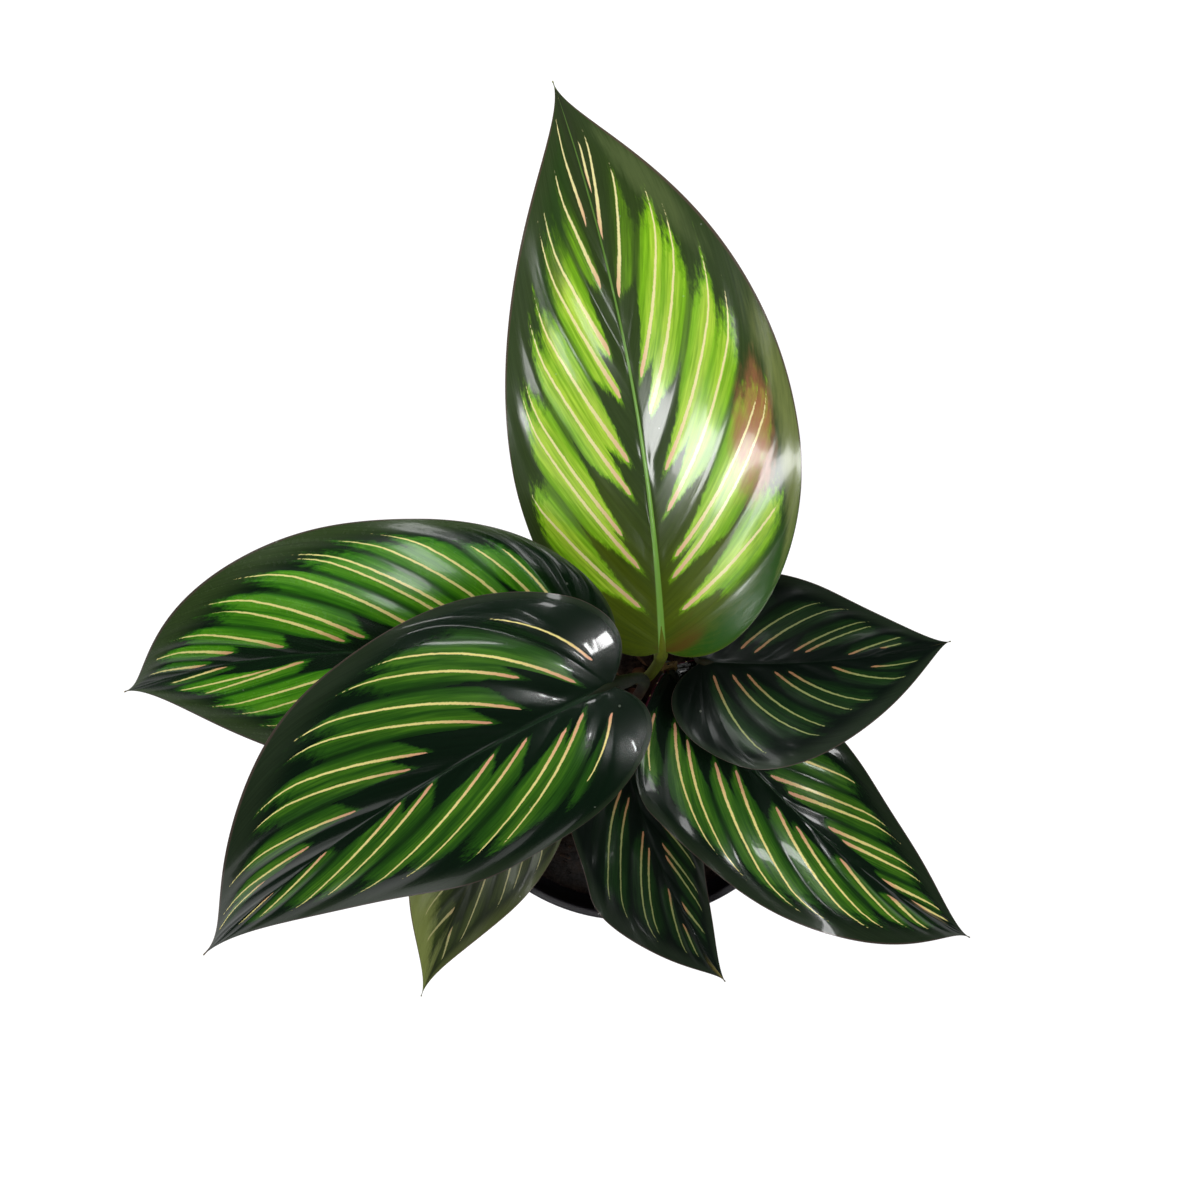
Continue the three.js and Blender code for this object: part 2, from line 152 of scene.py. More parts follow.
def drain_cutters():
    """The drain holes and the grooves that lead to them, as one mesh."""
    sides = DRAIN_HOLE_SIDES
    points, faces = [], []
    for hole in range(DRAIN_HOLES):
        turn = 2 * math.pi * hole / DRAIN_HOLES
        spin = np.array([[math.cos(turn), -math.sin(turn), 0],
                         [math.sin(turn), math.cos(turn), 0], [0, 0, 1]])
        ring = [(DRAIN_RING_RADIUS_MM + DRAIN_HOLE_RADIUS_MM * math.cos(2 * math.pi * k / sides),
                 DRAIN_HOLE_RADIUS_MM * math.sin(2 * math.pi * k / sides)) for k in range(sides)]
        start = len(points)
        for height in (-2 * POT_FLOOR_MM, 2 * POT_FLOOR_MM):
            points += [spin @ np.array([x, y, height]) for x, y in ring]
        faces.append([start + k for k in reversed(range(sides))])
        faces.append([start + sides + k for k in range(sides)])
        for k in range(sides):
            following = (k + 1) % sides
            faces.append([start + k, start + following, start + sides + following, start + sides + k])
        half = DRAIN_GROOVE_WIDTH_MM / 2
        low = (DRAIN_GROOVE_START_MM, -half, -DRAIN_GROOVE_DEPTH_MM)
        high = (POT_BASE_RADIUS_MM + POT_WALL_MM, half, DRAIN_GROOVE_DEPTH_MM)
        corners, box_faces = box_between(low, high)
        start = len(points)
        points += [spin @ corner for corner in corners]
        faces += [[start + i for i in face] for face in box_faces]
    return mesh_from("drain_cutters", points, faces)


def arc(centre, radius, start, end, steps):
    """Points on a round corner of the profile, between two angles in degrees."""
    angles = np.radians(np.linspace(start, end, steps))
    return [(centre[0] + radius * math.cos(a), centre[1] + radius * math.sin(a)) for a in angles]


def pot_profile():
    """The pot's outline: out along the bottom, up the wall, over the bead and down inside."""
    band = POT_HEIGHT_MM - POT_BAND_MM
    bead = POT_HEIGHT_MM - POT_BEAD_HEIGHT_MM
    top = POT_HEIGHT_MM - POT_BEAD_MM
    lip = POT_LIP_RADIUS_MM
    inner = lip - POT_STEP_MM
    outline = [(0, 0), (DRAIN_GROOVE_START_MM, 0)]
    outline += arc((POT_BASE_RADIUS_MM - POT_BEVEL_MM, POT_BEVEL_MM), POT_BEVEL_MM, -90, 0, 5)
    outline += [(pot_radius(0.5 * band), 0.5 * band), (pot_radius(band), band)]
    outline += [(lip - 2 * POT_BEAD_MM, band + POT_BEAD_MM), (lip - POT_BEAD_MM, bead)]
    outline += arc((lip - POT_BEAD_MM, bead + POT_BEAD_MM), POT_BEAD_MM, -60, 0, 3)
    outline += arc((lip - POT_BEAD_MM, top), POT_BEAD_MM, 0, 90, 5)
    outline += arc((inner + POT_BEAD_MM, top), POT_BEAD_MM, 90, 180, 5)
    outline += [(inner, band + 2 * POT_WALL_MM), (inner_radius(band), band)]
    outline += [(inner_radius(0.5 * band), 0.5 * band), (inner_radius(POT_FLOOR_MM), POT_FLOOR_MM)]
    outline.append((0, POT_FLOOR_MM))
    return outline


class Wire:
    """A value in a node tree. Arithmetic on wires adds the Math nodes that work it out."""

    def __init__(self, socket):
        self.socket = socket
        self.tree = socket.id_data

    def __add__(self, other):
        return calc("ADD", self, other)

    def __sub__(self, other):
        return calc("SUBTRACT", self, other)

    def __mul__(self, other):
        return calc("MULTIPLY", self, other)

    def __truediv__(self, other):
        return calc("DIVIDE", self, other)

    def __abs__(self):
        return calc("ABSOLUTE", self)


def join(value, socket):
    """Feeds a socket from a wire or another socket, or sets it to a plain value."""
    if isinstance(value, Wire):
        value = value.socket
    if isinstance(value, bpy.types.NodeSocket):
        socket.id_data.links.new(value, socket)
    else:
        socket.default_value = value


def node(tree, kind, inputs=(), **settings):
    """Adds a node with its properties and its inputs."""
    made = tree.nodes.new(kind)
    for name, value in settings.items():
        setattr(made, name, value)
    for key, value in dict(inputs).items():
        join(value, made.inputs[key])
    return made


def calc(operation, *values):
    """A sum on one or two values, at least one of them a wire."""
    tree = next(value.tree for value in values if isinstance(value, Wire))
    return Wire(node(tree, "ShaderNodeMath", enumerate(values), operation=operation).outputs[0])


def rise(value, low, high, start=0.0, end=1.0):
    """A soft step from start to end as the value goes from low to high."""
    inputs = {"Value": value, "From Min": low, "From Max": high, "To Min": start, "To Max": end}
    made = node(value.tree, "ShaderNodeMapRange", inputs, interpolation_type="SMOOTHSTEP")
    return Wire(made.outputs["Result"])


def mixed(share, first, second):
    """Two colours, blended by a share."""
    made = node(share.tree, "ShaderNodeMix", data_type="RGBA")
    for place, value in ((0, share), (6, first), (7, second)):
        join(value, made.inputs[place])
    return Wire(made.outputs[2])


def grain(place, scale, detail=3.0, roughness=0.55):
    """Cloudy noise from 0 to 1 at a place."""
    inputs = {"Vector": place, "Scale": scale, "Detail": detail, "Roughness": roughness}
    return Wire(node(place.tree, "ShaderNodeTexNoise", inputs).outputs["Fac"])


def object_place(tree):
    """The place on the object, in metres."""
    return Wire(node(tree, "ShaderNodeTexCoord").outputs["Object"])


def new_material(name, **uniform):
    """A material with one Principled shader, its uniform values set on the shader itself."""
    material = bpy.data.materials.new(name)
    material.use_nodes = True
    tree = material.node_tree
    shader = tree.nodes["Principled BSDF"]
    for label, value in uniform.items():
        shader.inputs[label.replace("_", " ").title().replace("Ior", "IOR")].default_value = value
    return material, tree, shader


def dress(shader, colour, rough, relief, depth_mm, strength):
    """Gives a shader its colour, its roughness and a relief."""
    inputs = {"Height": relief, "Distance": depth_mm * MM, "Strength": strength}
    bump = node(shader.id_data, "ShaderNodeBump", inputs)
    join(colour, shader.inputs["Base Color"])
    join(rough, shader.inputs["Roughness"])
    join(bump.outputs[0], shader.inputs["Normal"])


def moulded_plastic():
    """Black moulded plastic: faint turning marks, dull scuffs on the edges, dried soil inside."""
    material, tree, shader = new_material("moulded_black_plastic", ior=1.38)
    place = object_place(tree)
    height = Wire(node(tree, "ShaderNodeSeparateXYZ", {0: place}).outputs["Z"])
    level = node(tree, "ShaderNodeVectorMath", {0: place, 1: (1, 1, 0)}, operation="MULTIPLY").outputs[0]
    radius = Wire(node(tree, "ShaderNodeVectorMath", {0: level}, operation="LENGTH").outputs["Value"])
    cloud = grain(place, 60.0, 4.0)
    edges = Wire(node(tree, "ShaderNodeNewGeometry").outputs["Pointiness"])
    worn = rise(edges, 0.52, 0.6) * rise(cloud, 0.4, 0.65)
    taper = (POT_LIP_RADIUS_MM - POT_STEP_MM - POT_BASE_RADIUS_MM) / (POT_HEIGHT_MM - POT_BAND_MM)
    outside = height * taper + POT_BASE_RADIUS_MM * MM
    inner_wall = calc("LESS_THAN", radius - outside, -POT_WALL_MM / 2 * MM)
    splash = rise(grain(place, 260.0, 5.0), 0.55, 0.72)
    splash = splash * rise(height, POT_SPLASH_TOP_MM * MM, POT_CLEAN_FROM_MM * MM, 1.0, 0.15)
    dust = splash * inner_wall * 0.14
    colour = mixed(dust, mixed(worn * 0.6, POT_BLACK, POT_SCUFF), POT_DUST)
    marks = calc("SINE", (radius + height) * POT_MARK_RATE)
    relief = marks * 0.12 + (grain(place, 900.0, 2.0) + dust)
    rough = cloud * 0.2 + (dust * 0.4 + 0.36)
    dress(shader, colour, rough, relief, depth_mm=0.06, strength=0.5)
    return material


pot = added("moulded_pot", turned("moulded_pot", pot_profile(), POT_SEGMENTS))
cutters = added("drain_cutters", drain_cutters())
cut = pot.modifiers.new("drain", "BOOLEAN")
cut.operation = "DIFFERENCE"
cut.solver = "EXACT"
cut.use_self = True
cut.object = cutters
baked_shape(pot)
bpy.data.objects.remove(cutters)
soft_shaded(pot, sharp_over=35)
pot.data.materials.clear()
pot.data.materials.append(moulded_plastic())
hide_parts("nursery_pot")
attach(pot, "root")


# Potting soil
# Damp peat and composted bark, filled to 15 mm under the rim and mounded round the stems. Loose
# crumbs and slivers of bark lie on it.

SOIL_LEVEL_MM = 90
SOIL_MOUND_MM = 2.5
SOIL_MOUND_CENTRE_MM = (2, 11)
SOIL_MOUND_RADIUS_MM = 20
SOIL_LUMP_MM = 0.5
SOIL_LUMP_SPACING_MM = 15
SOIL_LUMP_SLANT = 1.7
SOIL_RINGS = 90
SOIL_SEGMENTS = 240
SOIL_EDGE_MM = 3
FIT_GAP_MM = 0.3
CRUMB_DENT = 0.28
CRUMB_DENT_TURN = 2.4
CRUMB_SINK_MM = 0.3
GROUND_SINK_MM = 0.2
GROUND_STEPS = 44
PEAT_DARK = (0.006, 0.0043, 0.0034, 1)
PEAT_BROWN = (0.027, 0.017, 0.011, 1)
BARK_BROWN = (0.085, 0.045, 0.022, 1)

# The fine crumb is two crossed waves. Each has its height in millimetres, and along x and y how
# tight it is, how far it wanders and how tight the wander is.
CRUMB_WAVES = [(0.35, (1.9, 1.3, 1.1), (2.3, 1.7, 0.9)), (0.2, (4.7, 2.1, 2.9), (5.3, 1.3, 3.7))]


def soil_height(x, y):
    """The height of the soil's surface over its level, in millimetres."""
    away = np.hypot(x - SOIL_MOUND_CENTRE_MM[0], y - SOIL_MOUND_CENTRE_MM[1]) / SOIL_MOUND_RADIUS_MM
    turn = 2 * math.pi / SOIL_LUMP_SPACING_MM
    lumps = np.sin(turn * x) * np.sin(turn * y) + np.sin(turn * (SOIL_LUMP_SLANT * x + y))
    return SOIL_MOUND_MM * np.exp(-away ** 2) + SOIL_LUMP_MM * lumps


def soil_mesh():
    """The soil's body, its top a grid of rings that carries the lumps and the finer crumb."""
    bottom = POT_FLOOR_MM + FIT_GAP_MM
    rim = inner_radius(SOIL_LEVEL_MM) - FIT_GAP_MM
    foot = inner_radius(bottom) - FIT_GAP_MM
    profile = [(0, bottom), (foot, bottom), (rim, SOIL_LEVEL_MM)]
    profile += [(rim * ring / SOIL_RINGS, SOIL_LEVEL_MM) for ring in range(SOIL_RINGS - 1, -1, -1)]
    mesh = turned("soil", profile, SOIL_SEGMENTS)
    points = np.empty(len(mesh.vertices) * 3)
    mesh.vertices.foreach_get("co", points)
    points = points.reshape(-1, 3) / MM
    x, y, z = points.T
    on_top = z > SOIL_LEVEL_MM - FIT_GAP_MM
    inward = np.clip((rim - np.hypot(x, y)) / SOIL_EDGE_MM, 0, 1)
    crumb = 0
    for size, (tight, far, wander), (other_tight, other_far, other_wander) in CRUMB_WAVES:
        across = np.sin(tight * x + far * np.sin(wander * y))
        crumb = crumb + size * across * np.sin(other_tight * y + other_far * np.sin(other_wander * x))
    points[:, 2] = np.where(on_top, SOIL_LEVEL_MM + inward * (soil_height(x, y) + crumb - CRUMB_SINK_MM), z)
    mesh.vertices.foreach_set("co", (points * MM).ravel())
    mesh.update()
    return mesh


def peat(name, light):
    """Damp peat: near black, browner where it has dried, and dull."""
    material, tree, shader = new_material(name)
    place = object_place(tree)
    cloud = grain(place, 180.0, 5.0, 0.65)
    grit = grain(place, 1400.0, 3.0, 0.7)
    colour = mixed(rise(cloud, 0.38, 0.7), PEAT_DARK, light)
    rough = rise(grit, 0.3, 0.7, 0.7, 0.98)
    dress(shader, colour, rough, cloud * 3.0 + grit, depth_mm=0.4, strength=0.9)
    return material


def crumb_tree():
    """Strews a surface with crumbs: an input for the crumb's shape, how many, and their sizes."""
    tree = bpy.data.node_groups.new("strewn_crumbs", "GeometryNodeTree")
    tree.is_modifier = True
    for label, kind in (("Surface", "Geometry"), ("Crumb", "Object"), ("Per Square Metre", "Float"),
                        ("Smallest", "Float"), ("Largest", "Float"), ("Seed", "Int"), ("Finish", "Material")):
        tree.interface.new_socket(label, in_out="INPUT", socket_type="NodeSocket" + kind)
    tree.interface.new_socket("Crumbs", in_out="OUTPUT", socket_type="NodeSocketGeometry")
    given = tree.nodes.new("NodeGroupInput").outputs
    result = tree.nodes.new("NodeGroupOutput").inputs
    spread = node(tree, "GeometryNodeDistributePointsOnFaces", {
        "Mesh": given["Surface"], "Density": given["Per Square Metre"], "Seed": given["Seed"]})
    crumb = node(tree, "GeometryNodeObjectInfo", {"Object": given["Crumb"]})
    size = node(tree, "FunctionNodeRandomValue", {
        2: given["Smallest"], 3: given["Largest"], "Seed": given["Seed"]}, data_type="FLOAT")
    turn = node(tree, "FunctionNodeRandomValue", {
        0: (0, 0, 0), 1: (2 * math.pi,) * 3, "Seed": given["Seed"]}, data_type="FLOAT_VECTOR")
    placed = node(tree, "GeometryNodeInstanceOnPoints", {
        "Points": spread.outputs["Points"], "Instance": crumb.outputs["Geometry"],
        "Rotation": turn.outputs[0], "Scale": size.outputs[1]})
    real = node(tree, "GeometryNodeRealizeInstances", {"Geometry": placed.outputs[0]})
    finished = node(tree, "GeometryNodeSetMaterial", {
        "Geometry": real.outputs[0], "Material": given["Finish"]})
    tree.links.new(finished.outputs[0], result["Crumbs"])
    return tree


def crumb_shape(name, stretch):
    """One rough crumb, 1 mm across before it is stretched."""
    shape = bmesh.new()
    bmesh.ops.create_icosphere(shape, subdivisions=1, radius=0.5 * MM)
    for i, vertex in enumerate(shape.verts):
        dent = 1 + CRUMB_DENT * math.sin(CRUMB_DENT_TURN * i + stretch[0])
        vertex.co = [value * dent * pull for value, pull in zip(vertex.co, stretch)]
    mesh = bpy.data.meshes.new(name)
    shape.to_mesh(mesh)
    shape.free()
    return added(name, mesh)


def strewn(name, ground, **given):
    """Crumbs strewn over the ground as one plain mesh of their own, from the tree's inputs."""
    made = added(name, ground.copy())
    modifier = made.modifiers.new("crumbs", "NODES")
    modifier.node_group = CRUMBS
    for item in CRUMBS.interface.items_tree:
        label = item.name.lower().replace(" ", "_")
        if label in given:
            modifier[item.identifier] = given[label]
    baked_shape(made)
    return soft_shaded(made, sharp_over=40)


def crumb_ground():
    """The part of the soil's top that crumbs lie on, kept clear of the pot's wall."""
    reach = inner_radius(SOIL_LEVEL_MM) - SOIL_EDGE_MM
    places = np.linspace(-reach, reach, GROUND_STEPS)
    x, y = np.meshgrid(places, places, indexing="ij")
    z = SOIL_LEVEL_MM + soil_height(x, y) - GROUND_SINK_MM
    number = np.arange(x.size).reshape(x.shape)
    inside = np.hypot(x, y) < reach
    faces = []
    for i in range(GROUND_STEPS - 1):
        for j in range(GROUND_STEPS - 1):
            if inside[i:i + 2, j:j + 2].all():
                faces.append([int(number[i, j]), int(number[i + 1, j]),
                              int(number[i + 1, j + 1]), int(number[i, j + 1])])
    return mesh_from("crumb_ground", np.stack([x, y, z], -1).reshape(-1, 3), faces)


CRUMBS = crumb_tree()
peat_finish = peat("damp_peat", PEAT_BROWN)
bark_finish = peat("bark_slivers", BARK_BROWN)
soil = soft_shaded(added("soil_body", soil_mesh()), sharp_over=60)
soil.data.materials.append(peat_finish)
round_crumb = crumb_shape("round_crumb", (1.0, 0.85, 0.7))
sliver = crumb_shape("bark_sliver", (2.6, 0.8, 0.45))
ground_mesh = crumb_ground()
soil_crumbs = strewn("soil_crumbs", ground_mesh, crumb=round_crumb, per_square_metre=130000,
                     smallest=0.7, largest=2.2, seed=4, finish=peat_finish)
bark = strewn("soil_bark", ground_mesh, crumb=sliver, per_square_metre=22000,
              smallest=0.8, largest=2.4, seed=9, finish=bark_finish)
bpy.data.objects.remove(round_crumb)
bpy.data.objects.remove(sliver)
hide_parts("potting_soil")
for piece in (soil, soil_crumbs, bark):
    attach(piece, "root")


# Leaves
# Each leaf grew in one piece: a thin blade folded along its midrib, on a slim stem that is
# swollen under the blade and sheathed at the soil. The blade is pleated between its side veins.
# Paired pinstripes run along the veins, pink inside and cream outside; the underside is purple.

BLADE_THICKNESS_MM = 0.7
SHOWN_THICKNESS_MM = 0.46
PLEAT_MM = 0.5
PLEAT_ROUNDNESS = 1.3
PLEAT_DIMPLE = 0.2
PLEAT_DIMPLE_WIDTH = 0.1
FULL_PLEAT_SPACING_MM = 90
CALM_MIDRIB = 0.07
CALM_EDGE = 0.82
CALM_BASE = (0.03, 0.25)
EDGE_THINNING = 0.35
EDGE_THINNING_START = 0.7
EDGE_WAVE_MM = 1.4
EDGE_WAVES = 2.5
EDGE_WAVE_START = 40
OTHER_EDGE_SHIFT = 120
FOLD = 10
MIDRIB_AT_COLLAR_MM = 1.5
MIDRIB_AT_TIP_MM = 0.5
MIDRIB_DEPTH = 1.52
MIDRIB_SPREAD = 1.1
MIDRIB_FADE = 0.1
MIDRIB_GROOVE_MM = 0.22
MIDRIB_GROOVE_WIDTH = 0.5
THINNEST_MIDRIB_MM = 0.05
MIDRIB_STEPS = 80
EDGE_CROWDING = 1.8
BASE_VEINS = 0.47
BASE_SOFTNESS = 0.08
VEIN_CROWDING = 1.8
VEIN_LEAN = 0.42
VEIN_SPREAD = 0.76
VEIN_HOOK = 0.6
VEIN_HOOK_START = 0.72
PAIR_GAP = 0.045
COLUMN_CROWDING = 1.5
STEM_DEPTH_MM = 22
STEM_UPRIGHT_MM = 9
STEM_SHEATH_MM = 2.4
SLIM_STEM_MM = 1.6
SWOLLEN_JOINT_MM = 2.0
SWOLLEN_JOINT_PLACE = 0.55
STEM_END = 0.045
STEM_END_RADIUS_MM = 1.0
STEM_SIDES = 20
STEM_GROOVE = 0.1
STEM_GROOVE_WIDTH = 0.45
STEM_RINGS_PER_STEP = 10
BAKE_MARGIN = 0.012
TOP_BREADTH_ON_MAP = 0.5
UNDER_BREADTH_ON_MAP = 0.42
UNDER_START_ON_MAP = 0.07
EDGE_ON_MAP = 0.004
STEM_ON_MAP = (0.97, 0.008, 0.05)
STEM_CAPS_ON_MAP = (0.004, 0.98, 0.03)
STEM_CAP_RADIUS_ON_MAP = 0.003
RAMP_STOPS = 28
RAMP_GAP = 0.02
BETWEEN_PAIR = 0.55
SPECK_GREY = (0.45, 0.5, 0.4, 1)
UNDER_FIBRE = (0.10, 0.09, 0.035, 1)
UNDER_RIB = (0.16, 0.12, 0.035, 1)
SHEATH_BROWN = (0.055, 0.020, 0.013, 1)

# Sizes are millimetres. A stem stands at root and goes by way to the collar, where the blade
# starts. widest, lobe, base, shoulder and point shape the outline. The midrib turns by bend, sinks
# by droop and twists by twist; curl is for the left and the right half, and calm is where the
# pleats start. A stripe is (vein, reach) at its inner end and at its outer end: vein counts the
# side veins from the collar, 0, to the tip, 1, and reach goes from the midrib, 0, to the edge, 1.
LEAVES = [
    dict(
        name="leaf_back", root=(3, 16), way=[(3, 15.5, 138), (5.5, 18, 151), (7.6, 21.6, 160)],
        collar=(8.5, 25, 166), length=164, left_width=37, right_width=44, widest=0.35,
        heading=93, bend=16, pitch=20, droop=26, roll=-10, twist=9, curl=(12, 8),
        lobe=9, base=0.53, shoulder=0.58, point=0.09, calm=(0.22, 0.42), rows=230, columns=34, kind="lime",
        left=[(0.36, 0.10, 0.328, 0.80), (0.415, 0.10, 0.388, 0.86), (0.428, 0.20, 0.405, 0.84),
              (0.485, 0.14, 0.453, 0.86), (0.517, 0.14, 0.481, 0.85), (0.57, 0.17, 0.533, 0.90),
              (0.595, 0.25, 0.56, 0.90), (0.655, 0.28, 0.638, 0.88), (0.70, 0.42, 0.72, 0.93)],
        right=[(0.355, 0.10, 0.323, 0.70), (0.41, 0.07, 0.378, 0.80), (0.427, 0.10, 0.395, 0.75),
               (0.475, 0.10, 0.443, 0.87), (0.505, 0.14, 0.475, 0.88), (0.562, 0.12, 0.533, 0.88),
               (0.595, 0.12, 0.565, 0.88), (0.673, 0.10, 0.652, 0.82), (0.735, 0.08, 0.725, 0.83),
               (0.765, 0.25, 0.775, 0.62)],
        blotches=[((0.15, -0.60), (0.17, 0.55), (0.018, 0.078, 0.005), 1.0),
                  ((0.14, -0.10), (0.18, 0.16), (0.095, 0.062, 0.010), 0.95),
                  # The two pale olive blotches on the right margin, here and at vein 0.58, are partly the
                  # leaf's olive mottling and partly painted sheen.
                  ((0.30, -0.90), (0.12, 0.13), (0.21, 0.25, 0.07), 0.75),
                  ((0.392, -0.66), (0.042, 0.19), (0.38, 0.14, 0.065), 0.95),
                  ((0.58, -0.92), (0.11, 0.09), (0.11, 0.15, 0.05), 0.6),
                  ((0.62, 0.80), (0.16, 0.14), (0.025, 0.060, 0.012), 0.8)],
    ),
    dict(
        name="leaf_left", root=(-3.5, 13), way=[(-4.5, 14.5, 140), (-4.6, 16, 165), (-6, 17.5, 181)],
        collar=(-10, 19, 190), length=154, left_width=41, right_width=38, widest=0.31,
        heading=168, bend=31, pitch=5, droop=48, roll=-8, twist=-20, curl=(22, 24),
        lobe=12, base=0.65, shoulder=0.63, point=0.12, rows=220, columns=34, kind="bright",
        left=[(0.36, 0.10, 0.39, 0.75), (0.385, 0.12, 0.42, 0.80), (0.44, 0.08, 0.475, 0.80),
              (0.475, 0.08, 0.515, 0.85), (0.535, 0.10, 0.56, 0.84), (0.56, 0.10, 0.598, 0.85),
              (0.632, 0.12, 0.655, 0.75), (0.645, 0.25, 0.70, 0.78), (0.73, 0.10, 0.76, 0.60)],
        right=[(0.306, 0.18, 0.300, 0.70), (0.332, 0.30, 0.329, 0.70), (0.375, 0.12, 0.353, 0.85),
               (0.40, 0.12, 0.378, 0.86), (0.438, 0.15, 0.412, 0.86), (0.455, 0.12, 0.423, 0.83),
               (0.50, 0.12, 0.452, 0.90), (0.555, 0.17, 0.505, 0.88), (0.58, 0.15, 0.529, 0.87),
               (0.635, 0.21, 0.588, 0.87), (0.67, 0.37, 0.642, 0.92), (0.74, 0.25, 0.735, 0.85)],
    ),
    dict(
        name="leaf_front_left", root=(1, 9.5),
        way=[(1, 10, 140), (2.5, 14, 166), (3, 16.8, 182), (0.5, 18.2, 196)],
        collar=(-6.5, 16.5, 206), length=151, left_width=39, right_width=45, widest=0.31,
        heading=204, bend=21, pitch=7, droop=47, roll=-23, twist=-18, curl=(26, 24),
        lobe=24, base=0.6, shoulder=0.43, point=0.17, rows=230, columns=34, calm=(0.12, 0.36), kind="dark",
        left=[(0.22, 0.14, 0.29, 0.46), (0.36, 0.06, 0.388, 0.70), (0.384, 0.10, 0.417, 0.73),
              (0.443, 0.06, 0.487, 0.78), (0.482, 0.06, 0.53, 0.86), (0.553, 0.03, 0.59, 0.80),
              (0.588, 0.03, 0.63, 0.83), (0.678, 0.03, 0.72, 0.70), (0.76, 0.05, 0.80, 0.40)],
        right=[(0.195, 0.18, 0.265, 0.63), (0.343, 0.08, 0.352, 0.80), (0.373, 0.24, 0.379, 0.82),
               (0.424, 0.10, 0.422, 0.87), (0.454, 0.12, 0.448, 0.87), (0.503, 0.22, 0.497, 0.88),
               (0.530, 0.20, 0.523, 0.90), (0.592, 0.24, 0.592, 0.92), (0.640, 0.34, 0.665, 0.93),
               (0.672, 0.56, 0.725, 0.94)],
    ),
    dict(
        name="leaf_right", root=(9, 17), way=[(13.5, 26.5, 122), (18.4, 27.2, 139)],
        collar=(20.5, 21.5, 150), length=78, left_width=27, right_width=31, widest=0.22,
        heading=-4, bend=17, pitch=10, droop=42, roll=-3, twist=-10, curl=(18, 22),
        lobe=22, base=0.55, shoulder=0.36, point=0.11, rows=170, columns=28, kind="deep",
        left=[(0.345, 0.10, 0.375, 0.70), (0.413, 0.12, 0.46, 0.80), (0.45, 0.10, 0.495, 0.87),
              (0.522, 0.16, 0.557, 0.83), (0.545, 0.16, 0.58, 0.79), (0.635, 0.14, 0.665, 0.76),
              (0.68, 0.35, 0.70, 0.58)],
        right=[(0.34, 0.08, 0.355, 0.77), (0.402, 0.08, 0.438, 0.80), (0.438, 0.08, 0.463, 0.76),
               (0.496, 0.08, 0.515, 0.75), (0.522, 0.09, 0.545, 0.79), (0.602, 0.11, 0.62, 0.85),
               (0.652, 0.32, 0.70, 0.76)],
    ),
    dict(
        name="leaf_front_right", root=(7, 10.5), way=[(8.6, 16.5, 118), (10, 19.6, 130)],
        collar=(11, 19.5, 140), length=136, left_width=28, right_width=32, widest=0.21,
        heading=-54, bend=25, pitch=4, droop=40, roll=-12, twist=-15, curl=(22, 20),
        lobe=-6, base=0.4, shoulder=0.66, point=0.1, rows=210, columns=30, kind="dark",
        left=[(0.36, 0.10, 0.35, 0.70), (0.39, 0.10, 0.38, 0.80), (0.46, 0.15, 0.443, 0.80),
              (0.52, 0.10, 0.495, 0.85), (0.543, 0.13, 0.513, 0.87), (0.592, 0.22, 0.576, 0.85),
              (0.615, 0.24, 0.61, 0.84), (0.705, 0.20, 0.70, 0.85), (0.76, 0.30, 0.77, 0.80)],
        right=[(0.315, 0.27, 0.325, 0.62), (0.36, 0.20, 0.375, 0.80), (0.385, 0.22, 0.393, 0.84),
               (0.436, 0.20, 0.433, 0.88), (0.477, 0.13, 0.462, 0.88), (0.54, 0.14, 0.522, 0.87),
               (0.568, 0.17, 0.555, 0.86), (0.638, 0.17, 0.616, 0.83), (0.70, 0.35, 0.675, 0.85)],
        blotches=[((0.80, 0.30), (0.05, 0.30), (0.26, 0.22, 0.13), 0.55)],
    ),
    dict(
        name="leaf_front", root=(1, 3), way=[(0.2, -0.5, 115)],
        collar=(-2, -5.5, 130), length=82, left_width=16, right_width=25, widest=0.42,
        heading=-78, bend=23, pitch=0, droop=26, roll=-24, twist=-6, curl=(40, 18),
        lobe=4, base=0.95, shoulder=0.33, point=0.08, rows=170, columns=26, kind="deep",
        left=[(0.38, 0.15, 0.38, 0.75), (0.455, 0.30, 0.455, 0.80), (0.52, 0.24, 0.52, 0.80),
              (0.545, 0.24, 0.56, 0.82), (0.655, 0.25, 0.65, 0.74)],
        right=[(0.393, 0.12, 0.40, 0.82), (0.433, 0.08, 0.445, 0.84), (0.516, 0.06, 0.509, 0.87),
               (0.547, 0.08, 0.535, 0.80), (0.637, 0.08, 0.62, 0.83), (0.683, 0.32, 0.69, 0.75)],
        blotches=[((0.88, -0.8), (0.13, 0.5), (0.20, 0.17, 0.04), 1.0)],
    ),
    dict(
        name="leaf_front_low", root=(-6, 6.5), way=[(-14, 0.5, 113)],
        collar=(-25, -9, 126), length=87, left_width=18, right_width=24, widest=0.32,
        heading=233, bend=18, pitch=0, droop=25, roll=0, twist=0, curl=(15, 15),
        lobe=2, base=0.76, shoulder=0.42, point=0.16, rows=170, columns=26, kind="olive",
        left=[(0.35, 0.20, 0.358, 0.84), (0.40, 0.15, 0.435, 0.78), (0.45, 0.15, 0.475, 0.82),
              (0.545, 0.20, 0.60, 0.83), (0.695, 0.30, 0.695, 0.80)],
        right=[(0.36, 0.15, 0.36, 0.80), (0.45, 0.12, 0.44, 0.80), (0.48, 0.12, 0.47, 0.80),
               (0.57, 0.20, 0.578, 0.80), (0.675, 0.12, 0.655, 0.80)],
        blotches=[((0.62, -0.90), (0.34, 0.34), (0.21, 0.25, 0.065), 0.85),
                  ((0.84, -0.2), (0.12, 0.7), (0.20, 0.24, 0.07), 0.85)],
    ),
]
